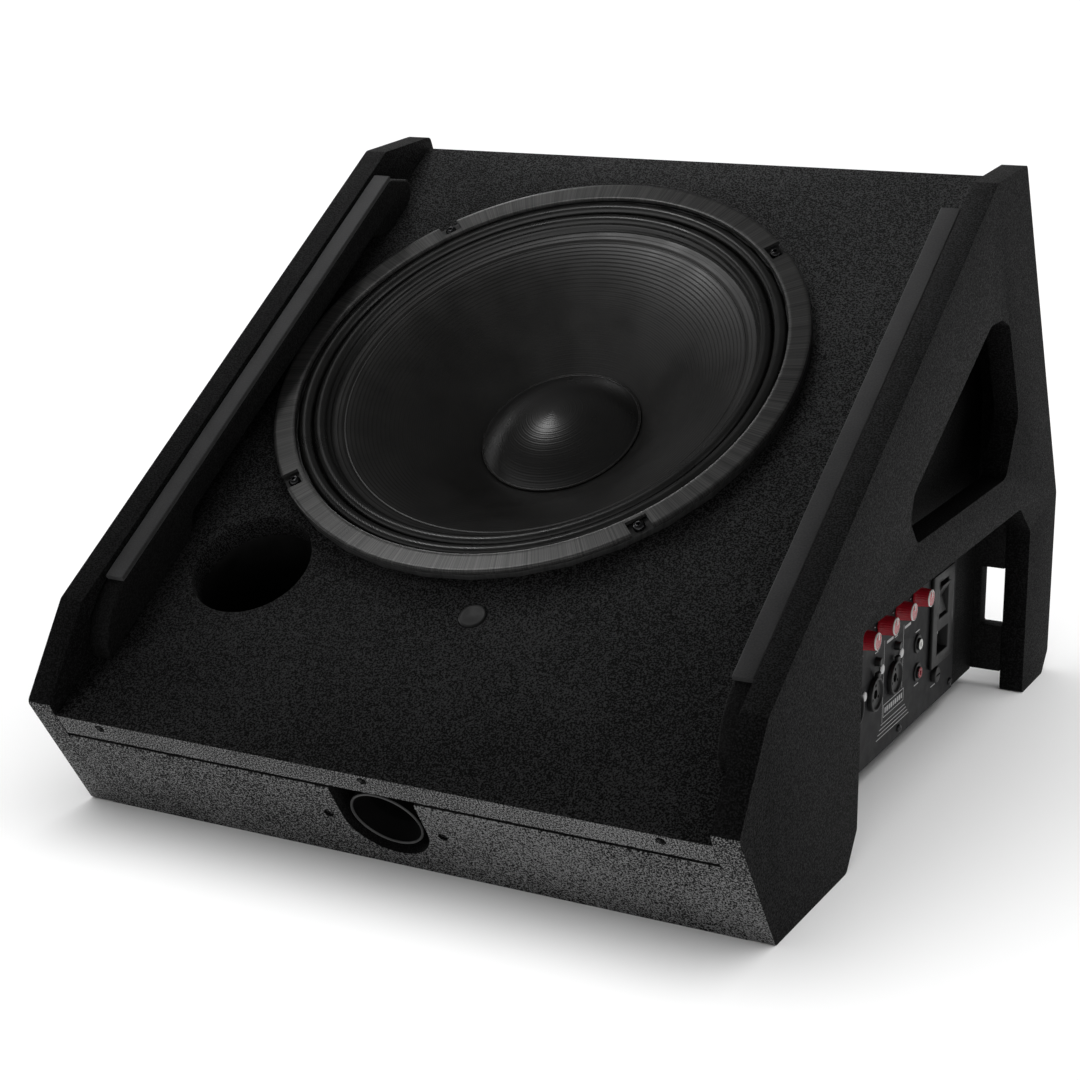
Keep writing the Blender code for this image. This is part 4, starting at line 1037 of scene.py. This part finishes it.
def panel_print():
    """Dial ticks, dividing lines, an outlined plate and plain dashes, as a thin raised ink layer."""
    bm = bmesh.new()
    thick = 0.00012

    def dash(y, z, long, wide, angle=0.0):
        at = side_matrix(FACE, y, z) @ Matrix.Rotation(math.radians(angle), 4, "Z")
        add_box(bm, (-long / 2, -wide / 2, 0.00003), (long / 2, wide / 2, thick), at)

    knob = [middle(f"gain_knob_{index}") for index in (1, 2, 3, 4)]
    jack = [middle(f"combo_jack_{index}") for index in (1, 2)]
    reach = 0.0103
    for centre in knob:
        for degrees in range(-55, 236, 29):
            turn = math.radians(degrees)
            y, z = centre.y + reach * math.cos(turn), centre.z + reach * math.sin(turn)
            dash(y, z, 0.0021, 0.00045, degrees)
        dash(centre.y, centre.z - 0.0135, 0.0085, 0.0011)
    half_pitch = (jack[1].y - jack[0].y) / 2
    line_top = knob[0].z - 0.015
    for centre, line_end in zip(jack, (0.038, 0.052)):
        dash(centre.y + half_pitch, (line_top + line_end) / 2, 0.0004, line_top - line_end)
    for centre in jack:
        dash(centre.y + 0.004, middle("input_button_1").z + 0.0066, 0.006, 0.0007)
    for centre in knob[1:3]:
        dash(centre.y + 0.0225, knob[0].z - 0.0178, 0.013, 0.002)
    plate_y, plate_z = jack[1].y + 0.003, jack[1].z - 0.02
    for z in (plate_z - 0.0045, plate_z + 0.0045):
        dash(plate_y, z, 0.042, 0.0005)
    for y in (plate_y - 0.021, plate_y + 0.021):
        dash(y, plate_z, 0.0005, 0.009)
    for k in range(9):
        dash(plate_y - 0.017 + 0.00425 * k, plate_z, 0.0022 + 0.0008 * (k % 2), 0.004)
    for k in range(4):
        dash(plate_y, plate_z - 0.009 - 0.003 * k, 0.05 + 0.006 * k, 0.0006)
    dash(middle("mains_inlet").y, plate_z + 0.002, 0.03, 0.0009)
    for node, rise, long in (("phono_socket_white", 0.0095, 0.009), ("phono_socket_red", -0.0095, 0.009),
                             ("fuse_cap", -0.009, 0.01)):
        dash(middle(node).y, middle(node).z + rise, long, 0.0008)
    show(from_bmesh("panel_print", bm), PRINT, body="cabinet")


def electronics():
    for node, material, bevel in (("amp_tray", STEEL, 0.0004), ("amp_board", BOARD, 0.0002),
                                  ("heat_sink", ALUMINIUM, 0.0004), ("transformer", WINDING, 0.0008)):
        refined(node, material, bevel, 2)


# ---- camera, floor and light ----
def camera():
    azimuth, elevation, roll = (math.radians(a) for a in (28.147, 15.612, -0.368))
    distance, look_at = 1.5973, Vector((-0.0177, -0.0384, 0.1602))
    back = Vector((math.sin(azimuth) * math.cos(elevation), -math.cos(azimuth) * math.cos(elevation),
                   math.sin(elevation)))
    right = (-back).cross(Vector((0, 0, 1))).normalized()
    up = right.cross(-back)
    tilted_right = right * math.cos(roll) + up * math.sin(roll)
    tilted_up = up * math.cos(roll) - right * math.sin(roll)
    rotation = Matrix((tilted_right, tilted_up, back)).transposed().to_4x4()
    data = bpy.data.cameras.new("camera")
    data.sensor_width = 36.0
    data.lens = 75.44
    obj = linked("camera", data)
    obj.matrix_world = Matrix.Translation(look_at + back * distance) @ rotation
    bpy.context.scene.camera = obj


def floor():
    bm = bmesh.new()
    bmesh.ops.create_grid(bm, x_segments=1, y_segments=1, size=30.0)
    ground = from_bmesh("floor", bm)
    pale = Surface("floor_paint", "", 0.85)
    tone = pale.grain(pale.place(), 0.6, 2.0)
    pale.tint(pale.span(tone, 0.3, 0.7), 0.86, 0.89)
    ground.data.materials.append(pale.material)


def lamp(name, kind, power, turn, **shape):
    """A light that shines down its own -Z."""
    data = bpy.data.lights.new(name, kind)
    data.energy = power
    for key, value in shape.items():
        setattr(data, key, value)
    obj = linked(name, data)
    obj.rotation_mode = "QUATERNION"
    obj.rotation_quaternion = turn
    return obj


def lit_only(source, names):
    """Let a light fall on these pieces only."""
    group = bpy.data.collections.new("lit_by_" + source.name)
    for name in names:
        group.objects.link(bpy.data.objects[name])
    source.light_linking.receiver_collection = group


def light():
    """A pale horizon under a dim ceiling, a broad sun for the floor only, and softboxes for the pieces."""
    world = bpy.data.worlds.new("studio")
    world.use_nodes = True
    tree = world.node_tree
    direction = tree.nodes.new("ShaderNodeTexCoord").outputs["Generated"]
    split = tree.nodes.new("ShaderNodeSeparateXYZ")
    tree.links.new(direction, split.inputs[0])
    ramp = tree.nodes.new("ShaderNodeValToRGB")
    tree.links.new(split.outputs["Z"], ramp.inputs["Fac"])
    for stop, (height, grey) in zip(ramp.color_ramp.elements, ((0.02, 1.0), (0.45, 0.09))):
        stop.position, stop.color = height, (grey, grey, grey, 1.0)
    tree.links.new(ramp.outputs["Color"], tree.nodes["Background"].inputs["Color"])
    bpy.context.scene.world = world
    down = Vector((0.0, -0.1, 1.0)).to_track_quat("Z", "Y")
    wash = lamp("floor_wash", "SUN", 3.5, down, angle=math.radians(90))
    lit_only(wash, ["floor"])
    pieces = {obj.name: obj.get("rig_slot") for obj in bpy.data.objects if obj.type == "MESH"}
    solid = [name for name in pieces if name != "floor"]
    flat = [name for name in solid if pieces[name] not in ("cone_paper", "surround_rubber")]
    painted = [name for name in solid if pieces[name] in ("cabinet_paint", "ledge_foam")]
    # softboxes: name, place, target, width, height, power, the pieces that they light
    for name, place, target, width, height, power, lit in (
            ("left", (-2.2, -0.3, 0.95), (0.0, 0.0, 0.3), 0.9, 0.9, 8.5, flat),
            ("top_left", (-0.82, -0.27, 1.75), (0.0, 0.0, 0.25), 0.32, 0.32, 3.1, solid),
            ("top_back", (-0.95, 0.8, 1.45), (0.0, 0.1, 0.3), 0.28, 0.28, 1.7, flat),
            ("right", (2.4, -0.2, 1.3), (0.0, 0.0, 0.2), 1.2, 1.2, 3.4, solid),
            ("rim", (-0.35, 0.6, 1.15), (0.0, 0.2, 0.35), 0.8, 0.5, 8.0, painted),
            ("cone_key", (-1.16, -0.36, 1.7), (0.0, 0.0, 0.3), 0.5, 0.5, 4.5, ["fine_woofer_cone"])):
        turn = (Vector(target) - Vector(place)).to_track_quat("-Z", "Y")
        box = lamp(name, "AREA", power, turn, shape="RECTANGLE", size=width, size_y=height)
        box.location = place
        lit_only(box, lit)
    bpy.context.scene.view_settings.view_transform = "Standard"


# ---- build ----
for panel in ("side_panel_left", "side_panel_right"):
    side_panel(panel)
baffle()
boards()
for strip in ("ledge_foam_left", "ledge_foam_right"):
    foam_strip(strip)
plug_and_port()
pole_cup()
wadding()
trim_ring()
surround()
cone()
dust_cap()
behind_driver()
refined("amp_panel", PANEL, 0.0003, 1)
knobs()
jacks()
phonos()
mains_inlet()
panel_screws()
indicators()
panel_print()
electronics()
camera()
floor()
light()
